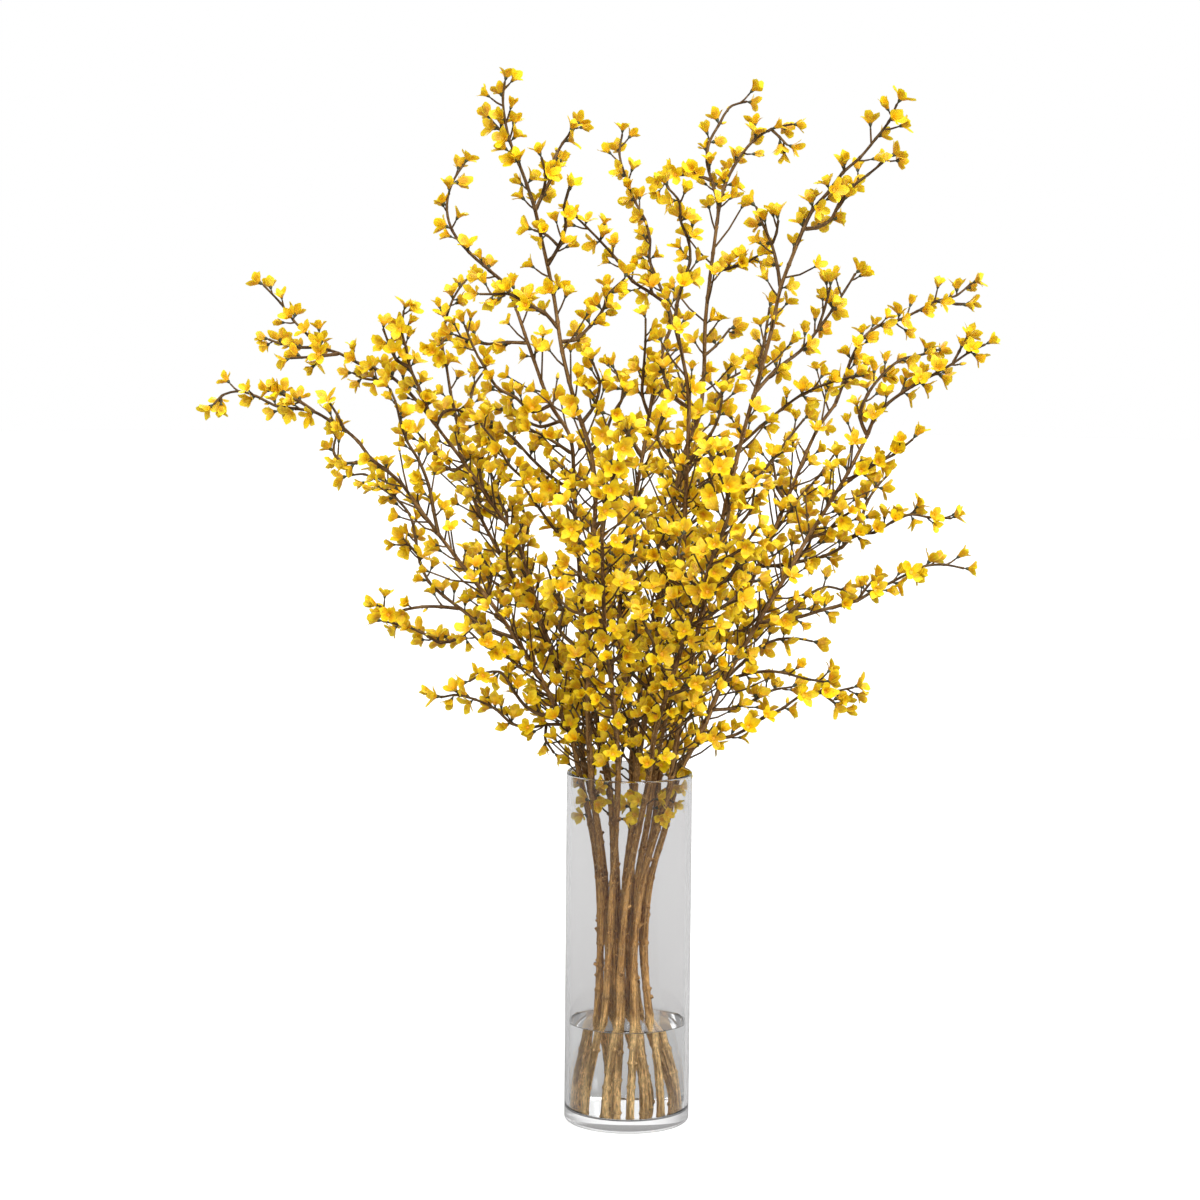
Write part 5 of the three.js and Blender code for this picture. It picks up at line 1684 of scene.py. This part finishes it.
for index, branch in enumerate(BRANCHES):
    name = branch["name"]
    flowers = [
        flower for path in wood[index] for key in ("flowers", "small", "tip")
        for flower in path[key]
    ]
    buds = [bud for path in wood[index] for bud in path["buds"]]
    pieces = [
        grown(
            name + "_calyces", spots_mesh(name, flowers), cup_tree,
            Shape=calyx_shape, Skin=calyx_skin,
        ),
        grown(
            name + "_petals", spots_mesh(name, flowers), petal_tree,
            Shape=petal_shape, Petals=PETALS, Tube=TUBE_RISE * MM, Skin=petal_skin,
        ),
    ]
    if buds:
        pieces.append(grown(
            name + "_buds", spots_mesh(name, buds), cup_tree, Shape=bud_shape, Skin=bud_skin
        ))
    for piece in pieces:
        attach(piece, "root")
        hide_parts(name)
for shape in (calyx_shape, bud_shape, petal_shape):
    bpy.data.objects.remove(shape)

# ---- Studio ----
# A seamless white table and backdrop. It is lit softly from all round, from a bright patch of
# sky at the upper right and by three wide lamps.

FLOOR_RADIUS = 12
FLOOR_DROP = 0.0003
FLOOR_GREY = (0.29, 0.29, 0.29, 1)
FLOOR_GLOW = 0.105
FLOOR_GLOW_SEEN = 0.8  # as the camera sees it
WHITE = (1, 1, 1, 1)
WINDOW = (0.3, -0.68, 0.67)  # the way to the brightest part of the sky
WINDOW_GLOW = (0.68, 0.96, 0, 4.7)  # how straight the way, then how bright, as the next two
UPPER_GLOW = (0, 1, 0.46, 0.8)  # straight up
BACK_GLOW = (0.6, 0.95, 0, 0.5)  # straight to the back
SKY_SEEN = 1  # its brightness as the camera sees it
LAMPS = (  # name, place, size, power in watts
    ("key", (1.5, -2.4, 3.0), 1.5, 30), ("fill", (-2.6, -2.0, 1.2), 1.6, 14),
    ("rim", (-0.9, 2.3, 2.6), 1.2, 34),
)
LAMP_AIM = (0, 0, 0.65)
LENS = 100.56
CAMERA_PLACE = (-0.0375, -4.0, 1.12)
CAMERA_DROP = 6.873  # degrees below level
CAMERA_ROLL = 0.48

floor = bmesh.new()
bmesh.ops.create_circle(floor, cap_ends=True, segments=96, radius=FLOOR_RADIUS)
mesh = bpy.data.meshes.new("floor")
floor.to_mesh(mesh)
floor.free()
ground = placed("floor", mesh)
ground.location.z = -FLOOR_DROP
paper, tree, shader = finish(
    "white paper", Base_Color=FLOOR_GREY, Roughness=0.9, Specular_IOR_Level=0, Emission_Color=WHITE
)
from_camera = add(tree, "ShaderNodeLightPath", output="Is Camera Ray")
glow = add(tree, "ShaderNodeMix", {
    0: from_camera, 2: FLOOR_GLOW, 3: FLOOR_GLOW_SEEN,
}, data_type="FLOAT")
tree.links.new(glow, shader.inputs["Emission Strength"])
ground.data.materials.append(paper)

world = bpy.data.worlds.new("studio")
bpy.context.scene.world = world
world.use_nodes = True
tree = world.node_tree
sky = tree.nodes["Background"]
direction = add(tree, "ShaderNodeTexCoord", output="Generated")
ways = add(tree, "ShaderNodeSeparateXYZ", {"Vector": direction}).node.outputs
towards_window = add(
    tree, "ShaderNodeVectorMath", {0: direction, 1: WINDOW}, "Value", operation="DOT_PRODUCT"
)
window = ranged(tree, towards_window, *WINDOW_GLOW, interpolation_type="SMOOTHSTEP")
upper = ranged(tree, ways["Z"], *UPPER_GLOW)
behind = ranged(tree, ways["Y"], *BACK_GLOW)
level = add(tree, "ShaderNodeMix", {
    0: add(tree, "ShaderNodeLightPath", output="Is Camera Ray"),
    2: maths(tree, "ADD", window, maths(tree, "ADD", behind, upper)), 3: SKY_SEEN,
}, data_type="FLOAT")
tree.links.new(level, sky.inputs["Strength"])
sky.inputs["Color"].default_value = WHITE

for name, spot, size, power in LAMPS:
    lamp = bpy.data.lights.new(name, "AREA")
    lamp.size = size
    lamp.energy = power
    made = placed(name, lamp)
    made.location = spot
    aim = Vector(LAMP_AIM) - Vector(spot)
    made.rotation_euler = aim.to_track_quat("-Z", "Y").to_euler()
    made.visible_transmission = False

lens = bpy.data.cameras.new("camera")
lens.lens = LENS
lens.sensor_width = 36
lens.clip_end = 100
camera = placed("camera", lens)
camera.location = CAMERA_PLACE
tilt = Matrix.Rotation(math.radians(90 - CAMERA_DROP), 4, "X")
roll = Matrix.Rotation(math.radians(CAMERA_ROLL), 4, "Z")
camera.rotation_euler = (tilt @ roll).to_euler()
bpy.context.scene.camera = camera
bpy.context.scene.view_settings.view_transform = "Standard"
